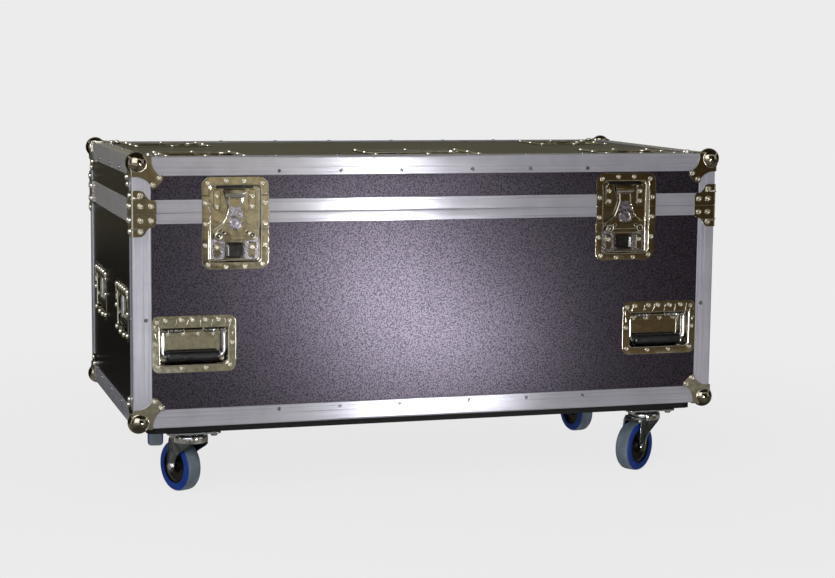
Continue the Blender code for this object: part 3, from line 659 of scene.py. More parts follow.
def brace(bm, sign):
    rows = [(0.5, 46), (20, 46), (22.5, 45.2), (24.8, 42.8), (26, 39), (26.6, 33)]
    rows += [(32.6 - y, 32 - x) for x, y in arc((0, 0), 6, 0, 90, 4)[1:]]
    rows += [(y, x) for x, y in arc((14, 31.6), 12, 12, 84, 6)]
    bend = [QUARTER * (i / 4 - 1) for i in range(9)]
    rings = []
    for z, width in rows:
        flat = width - BEND + QUARTER + OFF_FACE
        rings.append([wrapped(step, z * sign) for step in [-flat, -flat * 0.6, *bend, flat * 0.6, flat]])
    if sign < 0:
        rings.reverse()
    loft(bm, rings, closed=False)


for level, sign in (("base", -1), ("lid", 1)):
    for depth, side in CORNERS:
        place = corner_place(depth, side, SPLIT)
        finish(f"{level}_corner_brace_{depth}_{side}", [lambda bm: brace(bm, sign)], NICKEL, level,
               place=place, closed=False, wall=PLATE, bevel=0.3)
        for distance, z in BRACE_RIVETS:
            rivet(level, (distance, -OFF_FACE, sign * z), place, (0, -1, 0), 6.0)
            rivet(level, (-OFF_FACE, distance, sign * z), place, (-1, 0, 0), 6.0)
print("8 brace halves bent")

# %% [markdown]
# ## Ball corners
# Each of the eight corners is pressed from thick sheet: a ball that takes the knocks, and three legs with
# scalloped sides that reach out along the faces. Where the ball rises from the legs the press leaves a
# raised collar. The corner is drawn once, for a case that fills the space where x, y and z are positive, and
# its leg is turned into the other two by swapping axes.

# %% Ball corner
BALL_RADIUS = 21.0
BALL_INSET = 11.0
BALL_FACETS = 40
COLLAR = 1.3
SWAP = Matrix(((0, 0, 1, 0), (1, 0, 0, 0), (0, 1, 0, 0), (0, 0, 0, 1)))
THREE_WAYS = (Matrix(), SWAP, SWAP @ SWAP)
TIP_RIVETS = ((52.5, 40.0), (40.0, 52.5))


def corner_legs(bm):
    """A leg's scalloped edge runs from where it crosses the case's edge to the middle of its tip."""
    curve = arc((73.0, 5.0), 36.0, 180, 122, 10) + arc((52.5, 40.0), 7.5, -58, 45, 8)
    start = curve[0][0]
    outline = [(0.0, 0.0), (start, 0.0)] + curve + [(y, x) for x, y in reversed(curve)] + [(0.0, start)]
    edge = LEG + CLEAR
    tip = [(edge, edge)] + [(x, y) for x, y in outline if x > edge and y > edge]
    for turn in THREE_WAYS:
        prism(bm, outline, -OFF_FACE, -CLEAR, turn)
        prism(bm, tip, -CLEAR - 0.2, LAMINATE - CLEAR, turn)
        rod(bm, (0, 0, 8), (0, 0, start), OFF_FACE, 16, 0.4, turn)


def corner_ball(bm):
    """The part of the ball outside the case, closed by three flat sectors that meet at one point."""
    turn = Vector((-1, -1, -1)).to_track_quat("Z", "Y").to_matrix().to_4x4()
    bmesh.ops.create_uvsphere(bm, u_segments=BALL_FACETS, v_segments=BALL_FACETS // 2, radius=BALL_RADIUS,
                              matrix=Matrix.Translation((BALL_INSET,) * 3) @ turn)
    for normal in ((1, 0, 0), (0, 1, 0), (0, 0, 1)):
        bmesh.ops.bisect_plane(bm, geom=bm.verts[:] + bm.edges[:] + bm.faces[:], plane_co=(-CLEAR,) * 3,
                               plane_no=normal, dist=0.0001)
    inside = [face for face in bm.faces if min(face.calc_center_median()) > -CLEAR]
    bmesh.ops.delete(bm, geom=inside, context="FACES")
    hub = bm.verts.new((-CLEAR,) * 3)
    for edge in [edge for edge in bm.edges if edge.is_boundary]:
        bm.faces.new((*edge.verts, hub))


def corner_collar(bm):
    rise = BALL_INSET + OFF_FACE
    radius = sqrt(BALL_RADIUS ** 2 - rise ** 2) + COLLAR * 0.6
    reach = 90 + degrees(asin(rise / radius))
    lobe = [(x, y, -OFF_FACE) for x, y in arc((BALL_INSET,) * 2, radius, reach, 90 - reach, 24)][:-1]
    loop = lobe + placed(lobe, SWAP @ SWAP) + placed(lobe, SWAP)
    centre = Vector((BALL_INSET,) * 3)
    tube(bm, loop, COLLAR, guide=lambda point: point - centre, closed=True)


for level, z, sz in (("base", 0.0, 1), ("lid", HEIGHT, -1)):
    for depth, side in CORNERS:
        place = corner_place(depth, side, z, sz)
        finish(f"{level}_corner_legs_{depth}_{side}", [corner_legs, corner_collar], NICKEL, level,
               place=place, bevel=0.6)
        finish(f"{level}_corner_ball_{depth}_{side}", [corner_ball], BALL_NICKEL_PAINTED_DARK, level,
               [f"{level}_ball_corner_{depth}_{side}"], place)
        for turn in THREE_WAYS:
            for x, y in TIP_RIVETS:
                rivet(level, (x, y, -OFF_FACE), place @ turn, (0, 0, -1), 5.3)
print("8 ball corners pressed")

# %% [markdown]
# ## Pressed dishes
# Handles, latches, castor cups and the label plate are all dishes drawn from flat sheet, and all have the
# same profile: a flange that lies on the laminate, a round lip, a wall and a round foot to the floor. So one
# function makes their rings and joins them. The rings have the same number of points each, and marks on the
# sides give them points where the flange has to make a step.

# %% Dish
FLANGE_TOP = -LAMINATE + CLEAR + SHEET
LIP = 2.6
QUARTER_TURN = [radians(22.5 * step) for step in range(5)]


def centred(width, depth, radius):
    """A rectangle's spans in X and Y about the middle, and its corners' radius."""
    return (-width / 2, width / 2), (-depth / 2, depth / 2), radius


def dish(bm, flange, pocket, floor, foot=3.0, marks=()):
    """A dish from its flange's edge down to its floor, with Z outwards from the case's face."""
    rings = []

    def ring(size, grow, z):
        x, y = [(start - grow, end + grow) for start, end in size[:2]]
        rings.append([(px, py, z) for px, py in rounded(x, y, size[2] + grow, 6, marks)])

    for inset, sink in ((0.0, 0.5), (0.15, 0.15), (0.5, 0.0)):
        ring(flange, -inset, FLANGE_TOP - sink)
    for angle in QUARTER_TURN:
        ring(pocket, LIP * (1 - sin(angle)), FLANGE_TOP - LIP * (1 - cos(angle)))
    for angle in QUARTER_TURN:
        ring(pocket, -foot * (1 - cos(angle)), floor + foot * (1 - sin(angle)))
    bm.faces.new(loft(bm, rings)[-1])


print("a dish's flange lies", round(-FLANGE_TOP, 1), "mm under the outside of the edging")

# %% Dishes in the lid
CUP_FLANGE, CUP_POCKET = centred(168, 158, 12.0), centred(140, 130, 18.8)
LABEL_FLANGE, LABEL_POCKET = centred(232, 172, 12.0), centred(204, 144, 10.8)
EDGE_INSET = 6.5
CORNER_INSET = 8.5


def tray(name, stands_for, flange, pocket):
    """A dish let into the top of the lid."""
    low, _, middle = box_mm(stands_for)
    floor = low.z - HEIGHT + SHEET
    place = facing((middle.x, middle.y, HEIGHT), UP)
    finish(name, [lambda bm: dish(bm, flange, pocket, floor, foot=5.0)], NICKEL, "lid", [stands_for], place,
           closed=False, wall=SHEET)
    x, y = flange[0][1], flange[1][1]
    for sx in (-1, 1):
        for sy in (-1, 1):
            rivet("lid", (sx * (x - CORNER_INSET), sy * (y - CORNER_INSET), FLANGE_TOP), place)
        rivet("lid", (sx * (x - EDGE_INSET), 0, FLANGE_TOP), place)
        rivet("lid", (0, sx * (y - EDGE_INSET), FLANGE_TOP), place)
    return -floor


for depth, side in CORNERS:
    deep = tray(f"stacking_cup_{depth}_{side}", f"castor_cup_{depth}_{side}", CUP_FLANGE, CUP_POCKET)
tray("label_plate_dish", "label_dish", LABEL_FLANGE, LABEL_POCKET)
print("cups are", round(deep, 1), "mm deep")

# %% [markdown]
# ## Butterfly latches
# A latch's dish is one pressing cut in two along the split: the upper half is the keeper's and goes up with
# the lid. Its flange steps up where it crosses the rims. In the lower half sit the hook, which slides, the
# round cam that moves it, and the wing that folds out to turn the cam.

# %% Latch dish
LATCH_FLANGE = ((-65, 65), (302.5, 479.5), 18.0)
LATCH_POCKET = ((-49.5, 49.5), (317.0, 462.5), 8.0)
LATCH_STEP = (378.8, 444.2)
LATCH_FLOOR = -10.2
CAM_Y = 391.0
STEP_TOP = FLANGE_TOP + LAMINATE
RIB_TOP = LATCH_FLOOR + 2.6
LATCH_RIVETS = {
    "lid": {FLANGE_TOP: [(-17.3, 471.4), (17.3, 471.4), (-52.8, 467.3), (52.8, 467.3)],
            STEP_TOP: [(-58, 430), (58, 430)],
            RIB_TOP: [(-34, 442), (-34, 422), (34, 442), (34, 422)]},
    "base": {FLANGE_TOP: [(-52.6, 312.0), (-18.5, 307.4), (18.5, 307.4), (52.6, 312.0), (-58, 349),
                          (58, 349)],
             STEP_TOP: [(-58, 390), (58, 390)],
             RIB_TOP: [(-34, 344), (34, 344)]}}


def latch_place(side):
    return facing((SIGN[side] * LATCH_X, -HALF_Y, 0), (0, -1, 0))


def latch_dish(bm, sign):
    """Half of the latch's dish, on one side of the split."""
    low_step, high_step = LATCH_STEP
    marks = [middle + off for middle, half in ((low_step, 0.8), (SPLIT, CLEAR / 2), (high_step, 0.8))
             for off in (-half, half)]
    dish(bm, LATCH_FLANGE, LATCH_POCKET, LATCH_FLOOR, marks=marks)
    step_foot = FLANGE_TOP - 3.5
    for vert in bm.verts:
        if low_step < vert.co.y < high_step and vert.co.z > step_foot:
            vert.co.z += LAMINATE * min(1.0, (vert.co.z - step_foot) / 1.5)
    bmesh.ops.bisect_plane(bm, geom=bm.verts[:] + bm.edges[:] + bm.faces[:], clear_outer=True,
                           plane_co=(0, SPLIT + sign * CLEAR / 2, 0), plane_no=(0, -sign, 0))


def boss(bm, x, y, radius, floor, rise):
    """A low pressed bump with round edges, standing on a floor."""
    rings = []
    for grow, z in ((0.0, -0.4), (0.0, rise * 0.35), (-0.5, rise * 0.75), (-1.4, rise)):
        outline = rounded((x[0] - grow, x[1] + grow), (y[0] - grow, y[1] + grow), radius + grow, 5)
        rings.append([(px, py, floor + z) for px, py in outline])
    loft(bm, rings, caps=True)


print("latch dishes have", sum(map(len, LATCH_RIVETS["base"].values())), "rivets below the split")

# %% Latch floor
def latch_ribs(bm, sign):
    """The pressed ribs either side of the floor."""
    reach = (SPLIT + 3.0, 455.0) if sign > 0 else (324.0, 354.0)
    for side in (-1, 1):
        boss(bm, span(side, 27.0, 41.0), reach, 4.0, LATCH_FLOOR, 2.8)


def floor_painted_reflection(bm):
    """A satin plate on the floor behind the wing, stopping short of the finger scoop: painted reflection for
    the pale floor there.
    """
    for side in (-1, 1):
        prism(bm, rounded(span(side, 20.0, 46.0), (321.0, 362.0), 2.5), LATCH_FLOOR - 0.2, LATCH_FLOOR + 0.5)


def keeper_slot_painted_shade(bm):
    """A black block over the keeper's plate: painted shade for the dark slot there."""
    prism(bm, rounded((-36.0, 36.0), (456.4, 462.0), 1.8), LATCH_FLOOR - 0.2, LATCH_FLOOR + 3.4)


def keeper_plate(bm):
    """Sheet that rises off the floor, runs level behind the hook and turns up at the top."""
    side = [(421.0, 0.2), (424.0, 1.0), (427.0, 2.6), (430.0, 3.2), (439.0, 3.4), (441.0, 5.4), (443.5, 6.6),
            (450.0, 6.9), (454.0, 6.3), (455.5, 4.6)]
    shares = [i / 4 - 1 for i in range(9)]
    rings = []
    for y, z in side:
        half = 14.0 + 6.5 * min(1.0, (y - 421.0) / 28.0)
        rings.append([(half * share, y, LATCH_FLOOR + z + 0.6 * (1 - share ** 2)) for share in shares])
    loft(bm, rings, closed=False)


def painted_shade_pad(bm):
    """A black pad under the wing where the fingertip scoop is, hollowed like a shell: painted shade for the
    scoop's dark hollow.
    """
    rings = []
    for inset, z in ((0.0, 0.2), (0.8, 1.6), (2.0, 1.8), (4.5, 0.9), (8.0, 0.4)):
        x, y = (inset - 18.5, 18.5 - inset), (322.5 + inset * 0.6, 353.5 - inset)
        rings.append([(px, py, LATCH_FLOOR + z) for px, py in rounded(x, y, 7.0 - inset * 0.7)])
    bm.faces.new(loft(bm, rings)[-1])


for side in ("left", "right"):
    place = latch_place(side)
    finish(f"latch_finger_pad_{side}", [painted_shade_pad], SHADOW_PAINT, "base", place=place, closed=False)
    finish(f"latch_bright_floor_{side}", [floor_painted_reflection], SATIN, "base", place=place, bevel=0.2)
    finish(f"latch_keeper_slot_{side}", [keeper_slot_painted_shade], SHADOW_PAINT, "lid", place=place, bevel=0.4)
    for level, sign, packed in (("base", -1, f"latch_dish_{side}"), ("lid", 1, f"latch_keeper_{side}")):
        finish(f"{level}_latch_dish_{side}", [lambda bm: latch_dish(bm, sign)], NICKEL, level, [packed],
               place, closed=False, wall=SHEET)
        finish(f"{level}_latch_ribs_{side}", [lambda bm: latch_ribs(bm, sign)], NICKEL, level, place=place)
        for z, spots in LATCH_RIVETS[level].items():
            for x, y in spots:
                rivet(level, (x, y, z), place)
    finish(f"latch_keeper_plate_{side}", [keeper_plate], CHROME, "lid", place=place, closed=False, wall=1.0)
print("latch dishes pressed and cut at the split")

# %% [markdown]
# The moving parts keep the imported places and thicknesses, because the joints turn about them, and gain what
# a press and a lathe would give them: rolled edges, a raised spine on the hook, a dished face on the cam and
# eyelets in the wing.

# %% Latch hook and cam
HOOK_BACK, HOOK_TOP = LATCH_FLOOR + 4.3, LATCH_FLOOR + 6.3


def mirrored(half):
    return half + [(-x, y) for x, y in reversed(half)]


def latch_hook(bm):
    """A hook with a slot for the cam: a hair-thin bridge at the foot makes the two outlines one loop."""
    neck = [(0.0, 439.0), (9.0, 439.0), (12.0, 437.6), (12.5, 434.0), (12.5, 424.0), (13.6, 417.0),
            (16.0, 410.0), (19.0, 402.0), (22.0, 395.0), (25.0, 391.0), (41.0, 379.5)]
    half = neck + arc((38.0, 375.0), 5.0, 50, -50, 5) + [(34.0, 366.0), (31.0, 364.2)]
    outline = mirrored(half)
    slot = rounded((-7.1, 7.1), (CAM_Y - 15.1, CAM_Y + 7.1), 7.0, 8)
    start = min(range(len(slot)), key=lambda i: (slot[i][1], abs(slot[i][0])))
    loop = slot[start:] + slot[:start]
    gate = (loop[0][0], half[-1][1])
    bridged = outline[:len(half)] + [gate, loop[0], *reversed(loop), gate] + outline[len(half):]
    prism(bm, bridged, HOOK_BACK, HOOK_TOP)


def hook_spine(bm):
    """The rolled edges up both sides of the neck and the bead across its tip, sinking towards the tip."""
    top = HOOK_TOP - 0.1
    side_run = [(11.3, 437.0), (11.3, 425.0), (12.6, 416.5), (15.0, 409.5), (18.0, 401.5), (21.2, 394.0),
                (25.0, 389.6), (39.5, 379.0)]
    for side in (-1, 1):
        tube(bm, [(side * x, y, top) for x, y in side_run], 1.0)
    tube(bm, [(x, 437.0, top) for x in (-11.0, -4.0, 4.0, 11.0)], 1.0)
    for vert in bm.verts:
        vert.co.z -= max(0.0, vert.co.y - 421.0) * 0.11


def hook_neck_painted_reflection(bm):
    """A satin layer on the neck between its tip and the cam, which reads pale: painted reflection."""
    half = [(0.0, 422.5), (11.0, 422.5), (12.0, 417.0), (14.2, 409.5), (16.8, 402.0), (16.4, 399.5)]
    prism(bm, mirrored(half + [(0.0, 406.5)])[:-1], HOOK_TOP - 0.3, HOOK_TOP + 0.3)


def latch_cam(bm):
    back, head = LATCH_FLOOR + 0.4, LATCH_FLOOR + 6.7
    profile = [(0, back), (6.5, back), (6.5, head), (13.0, head), (13.0, head + 2.6), (12.4, head + 3.2),
               (11.2, head + 3.2), (10.2, head + 2.5), (9.0, head + 2.2), (3.0, head + 2.5), (0, head + 2.5)]
    turned(bm, profile, 48, Matrix.Translation((0, CAM_Y, 0)))


print("the hook is", round(HOOK_TOP - HOOK_BACK, 1), "mm thick")

# %% Latch wing
WING_Z = LATCH_FLOOR + 8.3
FINGER_HOLE = (32.5, 366.8)
SMALL_HOLE = (23.0, 373.4)


def eyelet(bm, side, centre, radius, z, wire):
    """A rolled edge round a hole."""
    points = arc((side * centre[0], centre[1]), radius, 0, 345, 23)
    tube(bm, [(x, y, z) for x, y in points], wire, closed=True)


def stud(bm, side, centre, low_z, high_z, radius, facets, chamfer):
    x, y = side * centre[0], centre[1]
    rod(bm, (x, y, low_z), (x, y, high_z), radius, facets, chamfer)


def latch_wing(bm):
    half = [(20.0, CAM_Y + 0.5)] + arc((32.5, 366.0), 8.5, 48, -90, 14)
    outline = mirrored(half) + list(reversed(arc((0, CAM_Y), 14.2, 360, 180, 20)))
    prism(bm, outline, WING_Z - 1.0, WING_Z + 0.7)
    for side in (-1, 1):
        eyelet(bm, side, FINGER_HOLE, 6.2, WING_Z + 0.6, 1.3)
        stud(bm, side, FINGER_HOLE, WING_Z, WING_Z + 1.6, 1.8, 16, 0.4)
        rod(bm, (side * 12.6, CAM_Y, WING_Z), (side * 19.0, CAM_Y, WING_Z), 0.9, 12, 0.2)
        eyelet(bm, side, SMALL_HOLE, 3.3, WING_Z + 0.5, 0.7)
    for y, reach in ((358.6, 30.0), (366.4, 23.0)):
        tube(bm, [(x, y, WING_Z + 0.3) for x in (-reach, 0.0, reach)], 1.3, 10)


# Black discs where the wing's holes are: painted shade for the holes, which are not cut.
def wing_hole_painted_shade(bm):
    for side in (-1, 1):
        stud(bm, side, FINGER_HOLE, WING_Z + 0.2, WING_Z + 0.9, 4.2, 20, 0.1)
        stud(bm, side, SMALL_HOLE, WING_Z + 0.2, WING_Z + 0.85, 2.8, 16, 0.1)


for side in ("left", "right"):
    place = latch_place(side)
    hook, cam, wing = f"latch_hook_{side}", f"latch_cam_{side}", f"latch_wing_{side}"
    finish(f"draw_hook_{side}", [latch_hook, hook_spine], NICKEL, hook, [hook], place, bevel=0.4)
    finish(f"hook_neck_painted_reflection_{side}", [hook_neck_painted_reflection], SATIN, hook, place=place, bevel=0.2)
    finish(f"cam_{side}", [latch_cam], SATIN, cam, [cam], place)
    finish(f"butterfly_wing_{side}", [latch_wing], NICKEL, wing, [wing], place, bevel=0.3)
    finish(f"wing_painted_hole_shade_{side}", [wing_hole_painted_shade], SHADOW_PAINT, wing, place=place)
print("latch mechanisms made")

# %% [markdown]
# ## Sprung handles
# Two handles are let into the front and two into each end. A strip across the top of the dish covers the
# pivots, and a slot under it shows the springs that snap the bail shut. The bail is one bent rod with a
# thick rubber grip moulded along its lower run.

# %% Handle dish
HANDLE_FLANGE = centred(161.5, 109.5, 14.0)
HANDLE_POCKET = ((-65.0, 65.0), (-39.0, 39.7), 7.0)
HANDLE_FLOOR = -26.0
STRIP_TOP = FLANGE_TOP + 1.3
SEAT_TOP = HANDLE_FLOOR + 3.2
PIVOT_Y, PIVOT_Z = 25.0, -14.0
HANDLES = [name.removeprefix("handle_dish_") for name in frame["nodes"] if name.startswith("handle_dish_")]
HANDLE_RIVETS = {
    STRIP_TOP: [(-54.9, 46.0), (-24.8, 46.4), (-3.6, 46.4), (21.6, 46.2), (46.8, 46.0)],
    FLANGE_TOP: [(-71.4, 43.0), (69.0, 43.3), (-73.2, 1.0), (73.2, 1.0), (-71.0, -42.3), (-24.6, -46.2),
                 (22.0, -46.2), (69.0, -42.3)],
    SEAT_TOP: [(-48.0, 17.0), (-19.0, 17.0), (11.0, 17.0), (41.0, 17.0)]}


def handle_place(name):
    """The face's axes at the middle of a handle's dish."""
    middle = box_mm(f"handle_dish_{name}")[2]
    if name.startswith("front"):
        return facing((middle.x, -HALF_Y, middle.z), (0, -1, 0))
    sign = SIGN[name.split("_")[0]]
    return facing((sign * HALF_X, middle.y, middle.z), (sign, 0, 0))


def cover_strip(bm):
    """The plate over the pivots, with its lower edge rolled."""
    prism(bm, rounded((-69.0, 69.0), (31.5, 49.0), 5.0), FLANGE_TOP - 0.2, STRIP_TOP)
    tube(bm, [(x, 32.4, FLANGE_TOP + 0.4) for x in (-65.0, -30.0, 0.0, 30.0, 65.0)], 1.1, 10)


def upright_plate(bm, x, outline):
    """A plate across X between two places, drawn in Y and Z."""
    loft(bm, [[(px, y, z) for y, z in outline] for px in x], caps=True)


def spring_seat(bm):
    """The plate that the springs press on, the lugs that carry their rod, and an ear at each end."""
    foot, lug_top = HANDLE_FLOOR - 0.3, PIVOT_Z + 3.4
    block(bm, (-57.0, 57.0), (13.5, 20.5), (foot, SEAT_TOP))
    lug = [(20.0, foot), (30.0, foot), (28.5, lug_top), (21.5, lug_top)]
    ear = [(15.0, foot), (34.0, foot), (34.0, -8.0), (31.0, -5.5), (19.0, -5.5), (15.0, -9.0)]
    for side in (-1, 1):
        for x in (18.0, 48.0):
            upright_plate(bm, span(side, x - 0.8, x + 0.8), lug)
        upright_plate(bm, span(side, 60.5, 62.5), ear)
    rod(bm, (-49.5, PIVOT_Y, PIVOT_Z), (49.5, PIVOT_Y, PIVOT_Z), 2.2, 16, 0.4)


def flange_ridges(bm):
    """Short slanted ridges pressed into the flange and the strip."""
    for side in (-1, 1):
        boss(bm, span(side, 66.5, 78.0), (25.0, 38.0), 5.0, FLANGE_TOP, 2.4)
        tube(bm, [(side * 73.5, 12.0, FLANGE_TOP), (side * 75.0, 22.0, FLANGE_TOP)], 0.9)
    for x in (-62.0, -14.5, -36.0, 10.0, 33.0, 58.0):
        tube(bm, [(x, 35.0, STRIP_TOP), (x + 2.5, 47.5, STRIP_TOP)], 1.0)


def handle_pan(bm):
    dish(bm, HANDLE_FLANGE, HANDLE_POCKET, HANDLE_FLOOR, foot=4.5)


# A black plate under the cover strip: painted shade for the dark slot where the springs sit.
def spring_slot_painted_shade(bm):
    prism(bm, rounded((-57.0, 57.0), (21.0, 37.5), 3.0), HANDLE_FLOOR - 0.4, HANDLE_FLOOR + 1.0)


for name in HANDLES:
    place = handle_place(name)
    finish(f"handle_pan_{name}", [handle_pan], NICKEL, "base", [f"handle_dish_{name}"], place,
           closed=False, wall=SHEET)
    finish(f"handle_strip_{name}", [cover_strip, spring_seat, flange_ridges], NICKEL, "base",
           place=place, bevel=0.35)
    finish(f"handle_spring_slot_{name}", [spring_slot_painted_shade], SHADOW_PAINT, "base", place=place, bevel=0.3)
    for z, spots in HANDLE_RIVETS.items():
        for x, y in spots:
            rivet("base", (x, y, z), place)
print(len(HANDLES), "handle dishes pressed")

# %% Bails and grips
BAIL_HALF = 59.6
BAIL_BOTTOM = PIVOT_Y - 51.0
BAIL_BEND = 9.0
BAIL_RADIUS = 4.25
GRIP_HALF = 52.0
GRIP_RADIUS = 11.0
GRIP_STEPS = 48
GRIP_DOME = 4.0
WAIST_PITCH = 23.5


def bail_rod(bm):
    quarter = arc((BAIL_HALF - BAIL_BEND, BAIL_BOTTOM + BAIL_BEND), BAIL_BEND, -90, 0, 8)
    half = quarter + [(BAIL_HALF, 0.0), (BAIL_HALF, PIVOT_Y + 3.0)]
    path = [(-x, y) for x, y in reversed(half)] + half
    tube(bm, [(x, y, PIVOT_Z) for x, y in path], BAIL_RADIUS, 20)
    for side in (-1, 1):
        for near, far, *sizes in ((51.0, 63.8, 3.0, 20, 0.6), (55.0, 63.6, 6.0, 24, 0.8)):
            rod(bm, (side * near, PIVOT_Y, PIVOT_Z), (side * far, PIVOT_Y, PIVOT_Z), *sizes)


def grip(bm):
    """Rubber moulded round the rod, with domed ends and shallow finger waists."""
    profile = [(0.0, -GRIP_HALF)]
    for i in range(GRIP_STEPS + 1):
        x = -GRIP_HALF + 2 * GRIP_HALF * i / GRIP_STEPS
        from_end = GRIP_HALF - abs(x)
        dome = sqrt(max(0.0, 1 - (1 - min(from_end, GRIP_DOME) / GRIP_DOME) ** 2))
        waist = 0.35 * (1 - cos(2 * pi * x / WAIST_PITCH)) / 2
        profile.append((max(4.6, (GRIP_RADIUS - waist) * (0.55 + 0.45 * dome)), x))
    profile.append((0.0, GRIP_HALF))
    turned(bm, profile, 32, Matrix.Translation((0, BAIL_BOTTOM, PIVOT_Z)) @ Matrix.Rotation(pi / 2, 4, "Y"))


for name in HANDLES:
    place, body = handle_place(name), f"handle_bail_{name}"
    finish(f"bail_{name}", [bail_rod], CHROME, body, [body], place)
    finish(f"grip_{name}", [grip], GRIP_RUBBER, body, place=place)
print(len(HANDLES), "bails bent and gripped")

# %% [markdown]
# ## Castors
# A swivel castor is a plate bolted to the board, a ring of balls, and a fork whose legs sweep back to the
# axle. The wheel is an elastic rubber ring on a nylon hub. The legs are pressed sheet with a flange turned
# round their edge, which is what gives the thin bright outline seen from the side.

# %% Castor sizes
WHEEL_RADIUS = (box_mm("castor_wheel_front_left")[1].z - box_mm("castor_wheel_front_left")[0].z) / 2
WHEEL_HALF = 16.0
BOARD_BOTTOM = box_mm("castor_board")[0].z
AXLE_DROP = WHEEL_RADIUS - FOOT - BOARD_BOTTOM
TRAIL = 36.0
PLATE_X, PLATE_Y, PLATE_THICK = 105.0, 85.0, 3.0
PLATE_BOTTOM = -CLEAR - PLATE_THICK
CROWN = PLATE_BOTTOM - 6.5
FORK_INSIDE = WHEEL_HALF + 2.5
FORK_OUTSIDE = WHEEL_HALF + 5.5
ON_EDGE = Matrix(((1, 0, 0, 0), (0, 0, 1, 0), (0, 1, 0, 0), (0, 0, 0, 1)))
JOINTS = {joint["name"]: joint for joint in frame["record"]["behaviour"]["joints"]}


def castor_places(name):
    """The mounting place, and the same turned so that the wheel trails along X."""
    top, wheel = [Vector(JOINTS[f"castor_{kind}_{name}"]["pos_m"]) / MM for kind in ("swivel", "spin")]
    foot = Vector((top.x, top.y, BOARD_BOTTOM))
    reach = Vector((wheel.x - top.x, wheel.y - top.y, 0)).normalized()
    turn = Matrix((reach, UP.cross(reach), UP)).transposed().to_4x4()
    return Matrix.Translation(foot), Matrix.Translation(foot) @ turn


print("wheels are", round(2 * WHEEL_RADIUS, 1), "mm across")

# %% Castor forms
def castor_plate(bm):
    """The plate and the ball race under it."""
    prism(bm, rounded((-PLATE_X / 2, PLATE_X / 2), (-PLATE_Y / 2, PLATE_Y / 2), 8.0), PLATE_BOTTOM, -CLEAR)
    race = [(6.0, 0.5), (33.5, 0.5), (33.5, -1.5), (32.5, -3.6), (29.0, -5.4), (26.0, -6.0), (6.0, -6.0)]
    turned(bm, [(r, PLATE_BOTTOM + z) for r, z in race], 48)


def castor_crown(bm):
    """The pressed cup that runs under the balls; its skirt hangs in front of the wheel."""
    skirt = [(6.0, 0.0), (26.0, 0.0), (30.0, -0.6), (32.6, -2.6), (33.4, -5.5), (33.4, -14.0), (32.0, -14.8),
             (31.4, -13.6), (31.4, -6.5), (6.0, -6.5)]
    turned(bm, [(r, CROWN + z) for r, z in skirt], 64)


def castor_legs(bm):
    """Two webs that narrow to the axle, each with a flange turned out along its edge."""
    back = [(-27.0, -5.0), (-26.0, -16.0), (-19.0, -22.0), (-6.0, -29.0), (8.0, -37.0), (18.0, -46.0),
            (24.0, -57.0)]
    outline = [(x, CROWN + z) for x, z in back] + arc((TRAIL, AXLE_DROP), 10.5, 190, 365, 14)
    outline += [(47.0, AXLE_DROP + 10.0), (46.0, AXLE_DROP + 34.0), (43.0, CROWN - 14.0), (36.0, CROWN - 6.0)]
    for side in (-1, 1):
        prism(bm, outline, *span(side, FORK_INSIDE, FORK_OUTSIDE), ON_EDGE)
        edge = [(x, side * (FORK_OUTSIDE - 0.3), z) for x, z in outline[1:]]
        tube(bm, edge, 1.5, guide=lambda point: Vector((0, 1, 0)))
    prism(bm, rounded((-27.0, 36.0), (-FORK_OUTSIDE, FORK_OUTSIDE), 5.0), CROWN - 9.0, CROWN - 6.0)


def axle(bm):
    """A bolt through the fork, with a washer and a hexagon at each end."""
    runs = [(-FORK_OUTSIDE - 3.5, FORK_OUTSIDE + 3.5, 5.0, 24, 0.8)]
    for side in (-1, 1):
        runs.append((side * (FORK_OUTSIDE - 0.2), side * (FORK_OUTSIDE + 1.0), 8.8, 32, 0.4))
        runs.append((side * (FORK_OUTSIDE + 0.9), side * (FORK_OUTSIDE + 4.6), 7.6, 6, 0.4))
    for start, end, *sizes in runs:
        rod(bm, (TRAIL, start, AXLE_DROP), (TRAIL, end, AXLE_DROP), *sizes)


def wheel_form(bm, *profiles):
    """Shapes turned about the axle; a profile has radius and distance across the wheel."""
    for profile in profiles:
        turned(bm, profile, 72, Matrix.Translation((TRAIL, 0, AXLE_DROP)) @ ON_EDGE)


def both_sides(half):
    return half + [(r, -z) for r, z in reversed(half)]


HUB = both_sides([(5.6, 16.4), (11.0, 16.4), (12.5, 15.6), (14.0, 10.0), (20.0, 8.6), (29.0, 8.8),
                  (32.0, 11.0), (33.0, 15.0), (34.0, 15.0)])
BLUE_RING = [(33.7, 13.9), (34.2, 15.8), (36.0, 16.8), (40.5, 17.0), (44.5, 16.4), (47.4, 14.8), (48.6, 12.6),
             (48.0, 10.5), (33.7, 10.5)]
FAR_RING = [(r, -z) for r, z in BLUE_RING]
TREAD = both_sides([(33.8, 10.6), (47.6, 10.6), (48.4, 13.4), (49.2, 12.4), (WHEEL_RADIUS - 0.3, 10.4),
                    (WHEEL_RADIUS, 7.0)])

